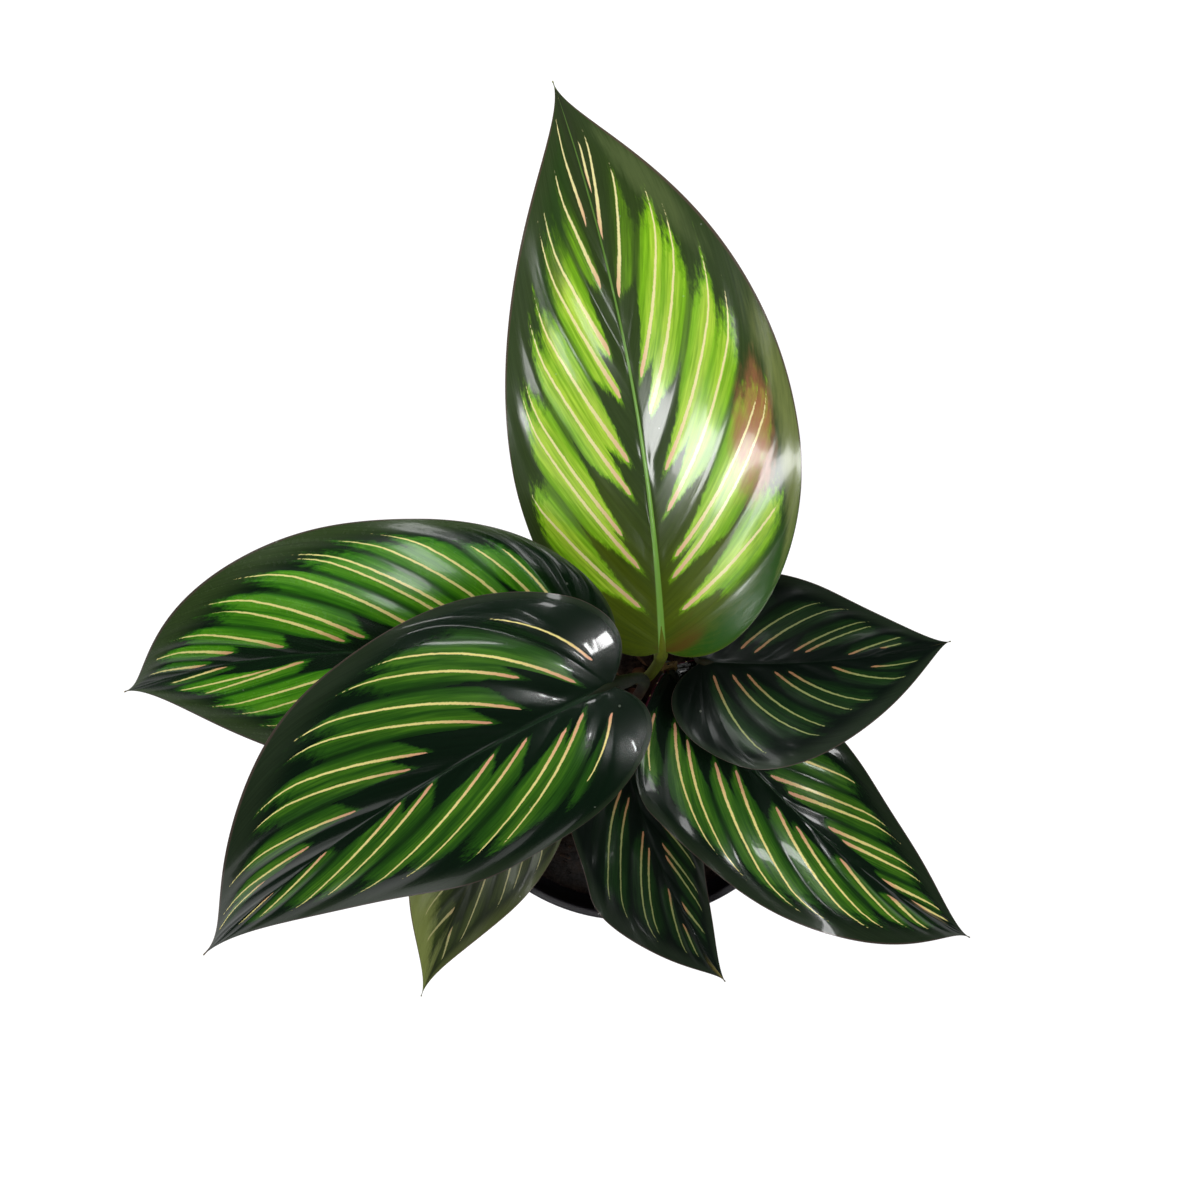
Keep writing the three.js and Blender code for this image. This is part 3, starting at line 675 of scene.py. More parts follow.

# How each kind of leaf is coloured. The large back leaf is lit through and nearly lime, its
# brightness partly painted light through the leaf. The others are darker with age, the two deep ones
# also with painted shade, and the lowest is an old olive leaf, dimmed by painted shade as well.
DARK_KIND = dict(edge=(0.07, 0.05, 0.04), wedge=0.6, first=0.38, last=0.68, tip_start=0.86, slot="dark_leaf")
KINDS = {
    # Painted light: the lime kind's bright greens stand partly for light shining through the leaf.
    "lime": dict(
        dark=(0.032, 0.058, 0.012), bright=(0.205, 0.48, 0.010), pale=(0.59, 0.77, 0.07),
        margin=(0.036, 0.060, 0.018), base=(0.085, 0.125, 0.007), rib=(0.21, 0.44, 0.07),
        stripe_in=(0.80, 0.50, 0.29), stripe_out=(0.86, 0.78, 0.36), edge=(0.09, 0.06, 0.045),
        stripe_width=0.46, tip=(0.030, 0.036, 0.020), under=(0.10, 0.045, 0.035),
        stalk=(0.10, 0.125, 0.010), ior=1.4, rough=0.12, coat=0.2, wedge=0.66, first=0.52,
        last=0.56, tip_start=0.62, slot="lime_leaf",
    ),
    "bright": dict(
        DARK_KIND,
        dark=(0.0033, 0.0135, 0.004), bright=(0.034, 0.180, 0.006), pale=(0.115, 0.36, 0.014),
        margin=(0.030, 0.055, 0.014), base=(0.005, 0.017, 0.004), rib=(0.010, 0.034, 0.010),
        stripe_in=(0.70, 0.38, 0.19), stripe_out=(0.80, 0.72, 0.26),
        stripe_width=0.42, tip=(0.02, 0.03, 0.015), under=(0.075, 0.012, 0.022), stalk=(0.009, 0.013, 0.004),
        ior=1.28, rough=0.2, coat=0.08, wedge=0.5, last=0.66,
    ),
    "dark": dict(
        DARK_KIND,
        dark=(0.0028, 0.0110, 0.0040), bright=(0.021, 0.090, 0.0075), pale=(0.085, 0.245, 0.014),
        margin=(0.017, 0.030, 0.013), base=(0.004, 0.011, 0.005), rib=(0.007, 0.022, 0.008),
        stripe_in=(0.80, 0.40, 0.24), stripe_out=(0.92, 0.80, 0.29),
        stripe_width=0.44, tip=(0.025, 0.02, 0.015), under=(0.07, 0.011, 0.022), stalk=(0.007, 0.011, 0.004),
        ior=1.3, rough=0.15, coat=0.25, wedge=0.42,
    ),
    # Painted shade: the deep kind's greens and dull stripes are darker than the leaf's own colours, for the
    # shade of the leaves above it; its paler margin is partly painted sheen.
    "deep": dict(
        DARK_KIND,
        dark=(0.0042, 0.0088, 0.0056), bright=(0.0070, 0.021, 0.0075), pale=(0.014, 0.050, 0.009),
        margin=(0.019, 0.031, 0.017), base=(0.0032, 0.0066, 0.0042), rib=(0.004, 0.010, 0.005),
        stripe_in=(0.46, 0.22, 0.11), stripe_out=(0.30, 0.34, 0.12),
        stripe_width=0.36, tip=(0.15, 0.11, 0.02), under=(0.065, 0.010, 0.022), stalk=(0.014, 0.015, 0.006),
        ior=1.2, rough=0.24, coat=0.02,
    ),
    # Painted shade: the olive kind is an old leaf's olive, darkened further for the shade of the leaf above
    # it.
    "olive": dict(
        DARK_KIND,
        dark=(0.016, 0.024, 0.008), bright=(0.026, 0.040, 0.009), pale=(0.055, 0.078, 0.016),
        margin=(0.070, 0.088, 0.024), base=(0.014, 0.020, 0.008), rib=(0.030, 0.038, 0.012),
        stripe_in=(0.42, 0.32, 0.15), stripe_out=(0.40, 0.38, 0.16), edge=(0.12, 0.09, 0.05),
        stripe_width=0.34, tip=(0.16, 0.18, 0.045), under=(0.08, 0.028, 0.028), stalk=(0.060, 0.055, 0.015),
        ior=1.25, rough=0.32, coat=0.03, tip_start=0.74, slot="olive_leaf",
    ),
}


def bezier(points, share):
    """A point on a quadratic or cubic curve, at each share."""
    share = np.asarray(share, float)[..., None]
    order = len(points) - 1
    total = 0
    for i, point in enumerate(points):
        weight = math.comb(order, i) * (1 - share) ** (order - i) * share ** i
        total = total + weight * np.asarray(point, float)
    return total


def blade_edge(leaf, width, share):
    """The edge of one half of the flat blade: 0 at the collar, 0.5 at the widest, 1 at the tip."""
    length = leaf["length"]
    widest = leaf["widest"] * length
    near = [(0, 0), (-leaf["lobe"], width / 2), (widest * (1 - leaf["base"]), width), (widest, width)]
    shoulder = widest + leaf["shoulder"] * (length - widest)
    far = [(widest, width), (shoulder, width), (length * (1 - leaf["point"]), 0), (length, 0)]
    near_points = bezier(near, np.clip(share * 2, 0, 1))
    far_points = bezier(far, np.clip(share * 2 - 1, 0, 1))
    return np.where((share < 0.5)[..., None], near_points, far_points)


def past_base(share):
    """How far a place on the edge is past those that the first veins fan out to."""
    ahead = share - BASE_VEINS
    return ahead + np.sqrt(ahead ** 2 + BASE_SOFTNESS ** 2)


def vein_start(share):
    """Where on the midrib, 0 to 1, the vein to a place on the edge starts."""
    return ((past_base(share) - past_base(0.0)) / (past_base(1.0) - past_base(0.0))) ** VEIN_CROWDING


def flat_points(leaf, width, row, reach):
    """Points on one half of the flat blade, on vein row at a reach."""
    share = 1 - (1 - row) ** EDGE_CROWDING
    end = blade_edge(leaf, width, share)
    start = np.stack([leaf["length"] * vein_start(share), np.zeros_like(row)], -1)
    lean = start[..., 0] + VEIN_LEAN * (end[..., 0] - start[..., 0])
    turn = np.stack([lean, VEIN_SPREAD * end[..., 1]], -1)
    reach = reach[..., None]
    return (1 - reach) ** 2 * start + 2 * reach * (1 - reach) * turn + reach ** 2 * end


def midrib_frame(leaf):
    """Stations along the arched midrib: points, directions along, across and up."""
    share = np.linspace(0, 1, MIDRIB_STEPS + 1)

    def along_at(place):
        pitch = np.radians(leaf["pitch"] - leaf["droop"] * place)
        heading = np.radians(leaf["heading"] + leaf["bend"] * place)
        level = np.cos(pitch)
        return np.stack([level * np.cos(heading), level * np.sin(heading), np.sin(pitch)], -1)

    step = leaf["length"] / MIDRIB_STEPS
    middles = along_at(share[:-1] + 0.5 / MIDRIB_STEPS)
    points = np.vstack([[leaf["collar"]], np.asarray(leaf["collar"]) + np.cumsum(middles * step, 0)])
    along = along_at(share)
    level = np.stack([-along[:, 1], along[:, 0], np.zeros(len(share))], -1)
    level /= np.linalg.norm(level, axis=1, keepdims=True)
    roll = np.radians(leaf["roll"] + leaf["twist"] * share)[:, None]
    across = level * np.cos(roll) + np.cross(along, level) * np.sin(roll)
    return share * leaf["length"], points, along, across, np.cross(along, across)


def on_midrib(frame_of_leaf, distance, which):
    """One of the frame's vectors at distances from the collar."""
    places, values = frame_of_leaf[0], frame_of_leaf[which]
    clipped = np.clip(distance, 0, places[-1])
    return np.stack([np.interp(clipped, places, values[:, axis]) for axis in range(3)], -1)


def blade_points(leaf, spine, side, flat):
    """Flat points of one half carried onto the folded, curled and waved blade. side is 1 on the
    left and -1 on the right."""
    x, y = flat[..., 0], flat[..., 1]
    width = (leaf["left_width"] + leaf["right_width"]) / 2
    fold = math.radians(FOLD)
    bow = math.radians(leaf["curl"][0 if side > 0 else 1]) / width
    sideways = (math.sin(fold) - np.sin(fold - bow * y)) / bow
    lift = (np.cos(fold - bow * y) - math.cos(fold)) / bow
    shift = math.radians(EDGE_WAVE_START + (0 if side > 0 else OTHER_EDGE_SHIFT))
    phase = 2 * math.pi * EDGE_WAVES * x / leaf["length"] + shift
    wave = EDGE_WAVE_MM * (y / width) ** 2 * np.sin(phase)
    along = on_midrib(spine, x, 2)
    points = on_midrib(spine, x, 1) + along * np.minimum(x, 0)[..., None]
    points = points + on_midrib(spine, x, 3) * (side * sideways)[..., None]
    return points + on_midrib(spine, x, 4) * (lift + wave)[..., None]


def midrib_width(leaf, distance):
    """The midrib's half width at a distance from the collar."""
    share = np.clip(distance / leaf["length"], 0, 1)
    fade = np.minimum((1 - share) / MIDRIB_FADE, 1)
    return (MIDRIB_AT_COLLAR_MM + (MIDRIB_AT_TIP_MM - MIDRIB_AT_COLLAR_MM) * share) * fade


def smooth(value, low, high):
    """A soft step from 0 to 1 between low and high."""
    share = np.clip((value - low) / (high - low), 0, 1)
    return share * share * (3 - 2 * share)


def slant(stripes):
    """How much the stripes of one half lean over the veins, a vein share for each unit of reach."""
    return float(np.mean([(s[2] - s[0]) / (s[3] - s[1]) for s in stripes]))


def leaned(stripe, tilt):
    """A stripe's inner and outer vein, with the lean of its half taken out."""
    return stripe[0] - tilt * (stripe[1] - 0.5), stripe[2] - tilt * (stripe[3] - 0.5)


def vein_pairs(stripes):
    """The stripes of one half grouped in pairs: a list of lists of middle veins."""
    tilt = slant(stripes)
    middles = sorted(sum(leaned(stripe, tilt)) / 2 for stripe in stripes)
    pairs = [[middles[0]]]
    for middle in middles[1:]:
        if middle - pairs[-1][-1] < PAIR_GAP and len(pairs[-1]) < 2:
            pairs[-1].append(middle)
        else:
            pairs.append([middle])
    return pairs


def pleat_edges(stripes):
    """The main side veins of one half, which lie between the pairs and are the pleats' valleys."""
    pairs = vein_pairs(stripes)
    edges = [(a[-1] + b[0]) / 2 for a, b in zip(pairs, pairs[1:])]
    step = (edges[-1] - edges[0]) / (len(edges) - 1)
    before = np.arange(edges[0] - step, 0, -step)[::-1]
    after = np.arange(edges[-1] + step, 1 + step, step)
    return np.concatenate([before, edges, after])


def blade_grid(leaf):
    """The blade's middle surface as a grid, rows from collar to tip and columns from the right
    edge to the left one, with what the finish needs to know at each point."""
    rows, columns = leaf["rows"], leaf["columns"]
    spine = midrib_frame(leaf)
    row = np.linspace(0, 1, rows + 1)[:, None]
    reach = (np.arange(columns + 1) / columns)[None, :] ** COLUMN_CROWDING
    row, reach = np.broadcast_arrays(row, reach)
    halves = {}
    for side, hand in ((-1, "right"), (1, "left")):
        stripes = leaf[hand]
        flat = flat_points(leaf, leaf[hand + "_width"], row, reach)
        points = blade_points(leaf, spine, side, flat)
        down = np.gradient(points, 1 / rows, axis=0)
        out = np.gradient(points, axis=1)
        area = np.linalg.norm(np.cross(down, out), axis=-1)
        spacing = area / np.maximum(np.linalg.norm(out, axis=-1), 1e-6)
        hook = VEIN_HOOK * np.maximum(reach - VEIN_HOOK_START, 0) ** 2
        vein = row - hook - slant(stripes) * (reach - 0.5)
        edges = pleat_edges(stripes)
        number = np.interp(vein, edges, np.arange(len(edges)))
        bulge = 1 - np.abs(2 * (number % 1) - 1) ** PLEAT_ROUNDNESS
        bulge = bulge - PLEAT_DIMPLE * np.exp(-((number % 1 - 0.5) / PLEAT_DIMPLE_WIDTH) ** 2)
        fade = smooth(reach, 0.0, CALM_MIDRIB) * (1 - smooth(reach, CALM_EDGE, 1.0))
        fade = fade * smooth(row, *leaf.get("calm", CALM_BASE))
        fade = fade * np.clip(spacing / FULL_PLEAT_SPACING_MM, 0, 1)
        spare = (BLADE_THICKNESS_MM - SHOWN_THICKNESS_MM) / 2
        height = spare * fade + PLEAT_MM * fade * (bulge - 1)
        rib = flat[..., 1] / np.maximum(midrib_width(leaf, flat[..., 0]), THINNEST_MIDRIB_MM)
        halves[side] = dict(points=points, flat=flat, vein=vein, reach=side * reach,
                            spacing=spacing, height=height, rib=rib)
    grid = {}
    for key in halves[1]:
        grid[key] = np.concatenate([halves[-1][key][:, :0:-1], halves[1][key]], 1)
    grid["flat"][:, :columns, 1] *= -1
    return grid, spine


def catmull_rom(stops, places):
    """Points on the smooth curve through the stops, at places counted in stops. It is the
    centripetal kind, which doesn't loop between near stops."""
    stops = np.asarray(stops, float)
    padded = np.vstack([2 * stops[0] - stops[1], stops, 2 * stops[-1] - stops[-2]])
    result = []
    for place in places:
        first = min(int(place), len(stops) - 2)
        share = place - first
        p0, p1, p2, p3 = padded[first:first + 4]
        d0, d1, d2 = (np.linalg.norm(b - a) ** 0.5 for a, b in ((p0, p1), (p1, p2), (p2, p3)))
        start = ((p1 - p0) / d0 - (p2 - p0) / (d0 + d1) + (p2 - p1) / d1) * d1
        end = ((p2 - p1) / d1 - (p3 - p1) / (d1 + d2) + (p3 - p2) / d2) * d1
        square = -3 * p1 + 3 * p2 - 2 * start - end
        cube = 2 * p1 - 2 * p2 + start + end
        result.append(p1 + start * share + square * share ** 2 + cube * share ** 3)
    return np.array(result)


def stem_grid(leaf, spine):
    """The stem as rings of points from inside the soil to the start of the midrib, with how far
    up it each ring is."""
    x, y = leaf["root"]
    heights = (-STEM_DEPTH_MM, STEM_UPRIGHT_MM / 2, STEM_UPRIGHT_MM)
    stops = [(x, y, SOIL_LEVEL_MM + height) for height in heights]
    radii = [STEM_SHEATH_MM] * len(heights)
    stops += list(leaf["way"])
    radii += [SLIM_STEM_MM] * len(leaf["way"])
    collar = np.array(leaf["collar"], float)
    last = np.array(leaf["way"][-1], float)
    stops.append(last + SWOLLEN_JOINT_PLACE * (collar - last))
    radii.append(SWOLLEN_JOINT_MM)
    depth = BLADE_THICKNESS_MM / 2 + MIDRIB_AT_COLLAR_MM
    stops.append(collar - on_midrib(spine, np.array(0.0), 4) * depth / 2)
    radii.append(SLIM_STEM_MM)
    end = np.array(STEM_END * leaf["length"])
    stops.append(on_midrib(spine, end, 1) - on_midrib(spine, end, 4) * depth / 2)
    radii.append(STEM_END_RADIUS_MM)
    places = np.linspace(0, len(stops) - 1, (len(stops) - 1) * STEM_RINGS_PER_STEP + 1)
    centres = catmull_rom(stops, places)
    eased = np.floor(places) + smooth(places % 1, 0, 1)
    radius = np.interp(eased, np.arange(len(stops)), radii)
    along = np.gradient(centres, axis=0)
    along /= np.linalg.norm(along, axis=1, keepdims=True)
    side = np.array([1.0, 0, 0])
    rings = []
    for centre, direction, size in zip(centres, along, radius):
        side = side - direction * (side @ direction)
        side /= np.linalg.norm(side)
        other = np.cross(direction, side)
        turn = 2 * math.pi * np.arange(STEM_SIDES) / STEM_SIDES
        groove = 1 - STEM_GROOVE * np.exp(-((turn - math.pi / 2) / STEM_GROOVE_WIDTH) ** 2)
        ring = np.outer(np.cos(turn) * groove, side) + np.outer(np.sin(turn) * groove, other)
        rings.append(centre + size * ring)
    return np.array(rings), places / (len(stops) - 1)


def strip_faces(index, uv, flip):
    """Faces between the rows of a grid of vertex numbers, with the corners' places on the map.
    A row that is one point makes triangles."""
    faces, corners = [], []
    for i in range(index.shape[0] - 1):
        for j in range(index.shape[1] - 1):
            cells = [(i, j), (i + 1, j), (i + 1, j + 1), (i, j + 1)]
            if index[i, j] == index[i, j + 1]:
                cells.pop(3)
            elif index[i + 1, j] == index[i + 1, j + 1]:
                cells.pop(2)
            if flip:
                cells.reverse()
            faces.append([int(index[cell]) for cell in cells])
            corners += [uv[cell] for cell in cells]
    return faces, corners


def leaf_mesh(leaf):
    """The leaf's mesh: blade top, underside and edge, and the stem, each with its place on the
    map and its finish number: 0 top, 1 underside and edge, 2 stem."""
    grid, spine = blade_grid(leaf)
    rows, width = grid["vein"].shape
    number = np.arange(rows * width).reshape(rows, width)
    number[0, :] = number[0, 0]
    number[-1, :] = number[-1, 0]
    used, packed = np.unique(number, return_inverse=True)
    packed = packed.reshape(rows, width)
    middle = grid["points"].reshape(-1, 3)[used]
    helper_faces, _ = strip_faces(packed, np.zeros((rows, width, 2)), False)
    helper = mesh_from("middle", middle, helper_faces)
    normals = np.empty(len(used) * 3)
    helper.vertices.foreach_get("normal", normals)
    normals = normals.reshape(-1, 3)
    bpy.data.meshes.remove(helper)
    value = {key: grid[key].reshape(-1)[used] for key in ("vein", "reach", "spacing", "height", "rib")}
    distance = grid["flat"][..., 0].reshape(-1)[used]
    rib_width = midrib_width(leaf, distance)
    groove = MIDRIB_GROOVE_MM * np.exp(-(value["rib"] / MIDRIB_GROOVE_WIDTH) ** 2)
    groove = groove * rib_width / MIDRIB_AT_COLLAR_MM
    round_below = np.sqrt(np.clip(1 - (value["rib"] / MIDRIB_SPREAD) ** 2, 0, 1))
    hang = round_below * rib_width * MIDRIB_DEPTH
    thin = 1 - EDGE_THINNING * smooth(np.abs(value["reach"]), EDGE_THINNING_START, 1.0)
    half = SHOWN_THICKNESS_MM / 2 * thin
    top = middle + normals * (value["height"] + half - groove)[:, None]
    bottom = middle + normals * (value["height"] - half - hang)[:, None]

    span = leaf["length"] + max(leaf["lobe"], 0)
    breadth = leaf["left_width"] + leaf["right_width"]
    scale = min((1 - 2 * BAKE_MARGIN) / span, TOP_BREADTH_ON_MAP / breadth)
    flat_u = BAKE_MARGIN + (grid["flat"][..., 0] + max(leaf["lobe"], 0)) * scale
    flat_v = (grid["flat"][..., 1] + leaf["right_width"]) * scale
    top_uv = np.stack([flat_u, 1 - BAKE_MARGIN - breadth * scale + flat_v], -1)
    small = UNDER_BREADTH_ON_MAP / (breadth * scale)
    under_uv = np.stack([flat_u * small, UNDER_START_ON_MAP + flat_v * small], -1)
    strips = [(packed, top_uv, False, 0), (packed + len(used), under_uv, True, 1)]
    for j, side in ((0, -1), (width - 1, 1)):
        edge_index = np.stack([packed[:, j], packed[:, j] + len(used)], 1)
        outer = top_uv[:, j] + np.array([0, side * EDGE_ON_MAP])
        strips.append((edge_index, np.stack([top_uv[:, j], outer], 1), side > 0, 1))

    rings, climb = stem_grid(leaf, spine)
    start = 2 * len(used)
    count = len(rings)
    stem_index = start + np.arange(count * STEM_SIDES).reshape(count, STEM_SIDES)
    stem_index = np.concatenate([stem_index, stem_index[:, :1]], 1)
    stem_end, low, high = STEM_ON_MAP
    stem_uv = np.meshgrid(np.linspace(BAKE_MARGIN, stem_end, count),
                          np.linspace(low, high, STEM_SIDES + 1), indexing="ij")
    strips.append((stem_index, np.stack(stem_uv, -1), True, 2))
    faces, corners, finish = [], [], []
    for index, uv, flip, kind in strips:
        more, places = strip_faces(index, uv, flip)
        faces += more
        corners += places
        finish += [kind] * len(more)
    foot_u, end_u, cap_v = STEM_CAPS_ON_MAP
    for ring, turn, u in ((stem_index[0, :-1], -1, foot_u), (stem_index[-1, :-1], 1, end_u)):
        faces.append([int(i) for i in ring[::turn]])
        angles = 2 * math.pi * np.arange(STEM_SIDES)[::turn] / STEM_SIDES
        corners += [(u + STEM_CAP_RADIUS_ON_MAP * math.cos(a), cap_v + STEM_CAP_RADIUS_ON_MAP * math.sin(a))
                    for a in angles]
        finish.append(2)

    mesh = bpy.data.meshes.new(leaf["name"] + "_shape")
    points = np.concatenate([top, bottom, rings.reshape(-1, 3)])
    mesh.from_pydata((points * MM).tolist(), [], faces)
    mesh.update()
    uv_map = mesh.uv_layers.new(name="OFBake")
    uv_map.data.foreach_set("uv", np.asarray(corners, float).ravel())
    mesh.polygons.foreach_set("material_index", finish)
    stem_values = np.repeat(climb, STEM_SIDES)
    for key in ("vein", "reach", "spacing", "rib"):
        attribute = mesh.attributes.new(key, "FLOAT", "POINT")
        attribute.data.foreach_set("value", np.concatenate([value[key], value[key], stem_values]))
    return mesh


def streaks(vein, reach, seed, crowd, stretch, detail=3.0, roughness=0.55):
    """Noise that is drawn out along the side veins."""
    inputs = {0: vein * crowd, 1: reach * stretch, 2: seed}
    place = Wire(node(vein.tree, "ShaderNodeCombineXYZ", inputs).outputs[0])
    return grain(place, 1.0, detail, roughness)


def new_group(name, inputs, outputs):
    """An empty shader node group with named sockets: (tree, input wires, group output)."""
    tree = bpy.data.node_groups.new(name, "ShaderNodeTree")
    for way, sockets in (("INPUT", inputs), ("OUTPUT", outputs)):
        for kind, labels in sockets.items():
            for label in labels:
                tree.interface.new_socket(label, in_out=way, socket_type="NodeSocket" + kind)
    given = {socket.name: Wire(socket) for socket in tree.nodes.new("NodeGroupInput").outputs}
    return tree, given, tree.nodes.new("NodeGroupOutput").inputs


def pinstripe_group():
    """One pinstripe: narrow, blunt inside, drawn out to a ragged end outside."""
    tree, given, result = new_group(
        "pinstripe",
        {"Float": ("Vein", "Reach", "Spacing", "Outer End", "Half Width", "Seed"), "Color": ("Ends",)},
        {"Float": ("Mask", "Along", "Away")})
    reach, seed = given["Reach"], given["Seed"]
    ends = node(tree, "ShaderNodeSeparateColor", {0: given["Ends"]}).outputs
    inner_vein, outer_vein, inner_end = (Wire(socket) for socket in ends)

    # How far along the stripe, and how far from its wandering centre line in millimetres.
    along = (reach - inner_end) / (given["Outer End"] - inner_end)
    held = calc("MINIMUM", calc("MAXIMUM", along, 0.0), 1.0)
    centre = (outer_vein - inner_vein) * held + inner_vein
    wander = streaks(centre, reach, seed, 90.0, 26.0, 2.0) - 0.5
    away = abs(wander * 0.35 + (given["Vein"] - centre) * given["Spacing"])

    # Its half width, which is ragged, narrows outwards and runs out at both ends.
    ragged = streaks(centre, reach, seed + 7.0, 70.0, 110.0, 2.0)
    width = given["Half Width"] * rise(along, 0.0, 1.0, 1.1, 0.55) * (ragged * 0.7 + 0.65)
    outer = ragged * 0.22 + 0.82
    width = width * rise(along, -0.005, 0.035) * rise(along, outer, outer + 0.1, 1.0, 0.0)
    cover = rise(away, width - 0.13, width + 0.07, 1.0, 0.0) * rise(width, 0.03, 0.12)
    for label, value in (("Mask", cover), ("Along", held), ("Away", away)):
        join(value, result[label])
    return tree


def blade_colour_group():
    """The blade's greens: a dark feather along the midrib, bright brush marks between the veins,
    a dark margin, and all of it streaked along the veins."""
    tree, given, result = new_group(
        "blade_colour",
        {"Float": ("Vein", "Reach", "Band", "Inner End", "Outer End", "Away", "Seed",
                   "Wedge", "Last", "First"),
         "Color": ("Dark", "Bright", "Pale", "Margin", "Base")},
        {"Float": ("Streak",), "Color": ("Colour",)})
    vein, reach, away, seed = given["Vein"], given["Reach"], given["Away"], given["Seed"]
    first, last = given["First"], given["Last"]
    broad = streaks(vein, reach, seed, 34.0, 2.2)
    fine = streaks(vein, reach, seed, 190.0, 4.0, 3.0, 0.6)
    fleck = streaks(vein, reach, seed, 120.0, 30.0, 3.0, 0.7)
    loose = broad * 0.7 + (fleck * 0.9 - 0.8)

    # The green: a brush mark at each stripe, wider outwards, gone before the margin, at the base
    # and near the tip, and weaker between the pairs.
    inner = given["Inner End"] - 0.05
    spread = loose * 2.2 + rise(reach, inner, inner + given["Wedge"], 0.0, 6.5)
    green = rise(away, spread, spread + 1.2, 1.0, 0.0)
    front = loose * 0.2 + inner
    green = green * rise(reach, front, front + 0.09)
    outer = given["Outer End"] * 0.6 + (loose * 0.24 + 0.25) - away * 0.025
    green = green * rise(reach, outer, outer + 0.14, 1.0, 0.0)
    green = green * rise(vein, 0.24, 0.34) * rise(vein, last, last + 0.15, 1.0, 0.0)
    green = green * rise(given["Band"], 0.0, 0.22, 0.45, 1.0)
    streak = (fine * 0.8 + (broad * 0.6 + 0.15)) * rise(away, 0.5, 4.0, 1.2, 0.8)
    lit = green * streak

    # The colours: the dark ground and its margin, the base lobes, then the marks over both.
    colour = mixed(rise(reach, 0.78, 0.95), given["Dark"], given["Margin"])
    at_base = rise(rise(reach, 0.3, 0.75) * 0.28 + vein, first - 0.18, first, 1.0, 0.0)
    colour = mixed(at_base * rise(broad, 0.2, 0.7, 0.6, 1.0), colour, given["Base"])
    colour = mixed(rise(lit, 0.0, 0.85), colour, given["Bright"])
    colour = mixed(rise(lit, 0.66, 1.2) * 0.62, colour, given["Pale"])
    shade = rise(fine, 0.25, 0.75, 0.82, 1.12)
    grey = node(tree, "ShaderNodeCombineXYZ", {0: shade, 1: shade, 2: shade}).outputs[0]
    shaded = node(tree, "ShaderNodeVectorMath", {0: colour, 1: grey}, operation="MULTIPLY").outputs[0]
    join(shaded, result["Colour"])
    join(streak, result["Streak"])
    return tree


def stripe_ramps(leaf, vein, on_left):
    """The nearest stripe's ends and the brush marks' strength, looked up by vein."""
    looked_up = []
    for stripes in (leaf["right"], leaf["left"]):
        tilt = slant(stripes)
        rows = sorted((*leaned(stripe, tilt), stripe[1], stripe[3]) for stripe in stripes)
        ends = node(vein.tree, "ShaderNodeValToRGB", {0: vein})
        ends.color_ramp.interpolation = "CONSTANT"
        elements = ends.color_ramp.elements
        previous = None
        for inner_vein, outer_vein, inner_reach, outer_reach in rows:
            middle = (inner_vein + outer_vein) / 2
            place = 0.0 if previous is None else (previous + middle) / 2
            previous = middle
            stop = elements[0] if place == 0 else elements.new(place)
            stop.position = place
            stop.color = (inner_vein, outer_vein, inner_reach, outer_reach)
        elements.remove(elements[len(elements) - 1])
        marks = node(vein.tree, "ShaderNodeValToRGB", {0: vein})
        marks.color_ramp.interpolation = "EASE"
        stops = [(edge, 0.0) for edge in pleat_edges(stripes) if RAMP_GAP < edge < 1 - RAMP_GAP]
        for pair in vein_pairs(stripes):
            stops += [(middle, 1.0) for middle in pair]
            if len(pair) == 2 and pair[1] - pair[0] > RAMP_GAP:
                stops.append((sum(pair) / 2, BETWEEN_PAIR))
        elements = marks.color_ramp.elements
        for stop, place in zip(elements, (0.0, 1.0)):
            stop.position, stop.color = place, (0, 0, 0, 1)
        for place, strength in sorted(stops)[:RAMP_STOPS]:
            elements.new(place).color = (strength, strength, strength, 1)
        sockets = (ends.outputs["Color"], ends.outputs["Alpha"], marks.outputs["Color"])
        looked_up.append([Wire(socket) for socket in sockets])
    right, left = looked_up
    outer_end = (left[1] - right[1]) * on_left + right[1]
    return mixed(on_left, right[0], left[0]), outer_end, mixed(on_left, right[2], left[2])


def attributes(tree, *names):
    """Numbers stored on the mesh."""
    return [Wire(node(tree, "ShaderNodeAttribute", attribute_name=name).outputs["Fac"]) for name in names]


def solid(colour):
    """A colour with full cover."""
    return (*colour, 1)


def blotched(colour, vein, signed, blotches):
    """Soft ragged blotches, each a (vein, reach), the size in both, a colour and a strength."""
    if not blotches:
        return colour
    ragged = streaks(vein, signed, 5.0, 130.0, 22.0) * 0.8 + streaks(vein, signed, 3.0, 60.0, 8.0)
    for centre, size, tint, strength in blotches:
        across = (vein - centre[0]) / size[0]
        along = (signed - centre[1]) / size[1]
        away = ragged * 1.1 + (across * across + along * along)
        colour = mixed(rise(away, 0.9, 2.3, strength, 0.0), colour, solid(tint))
    return colour


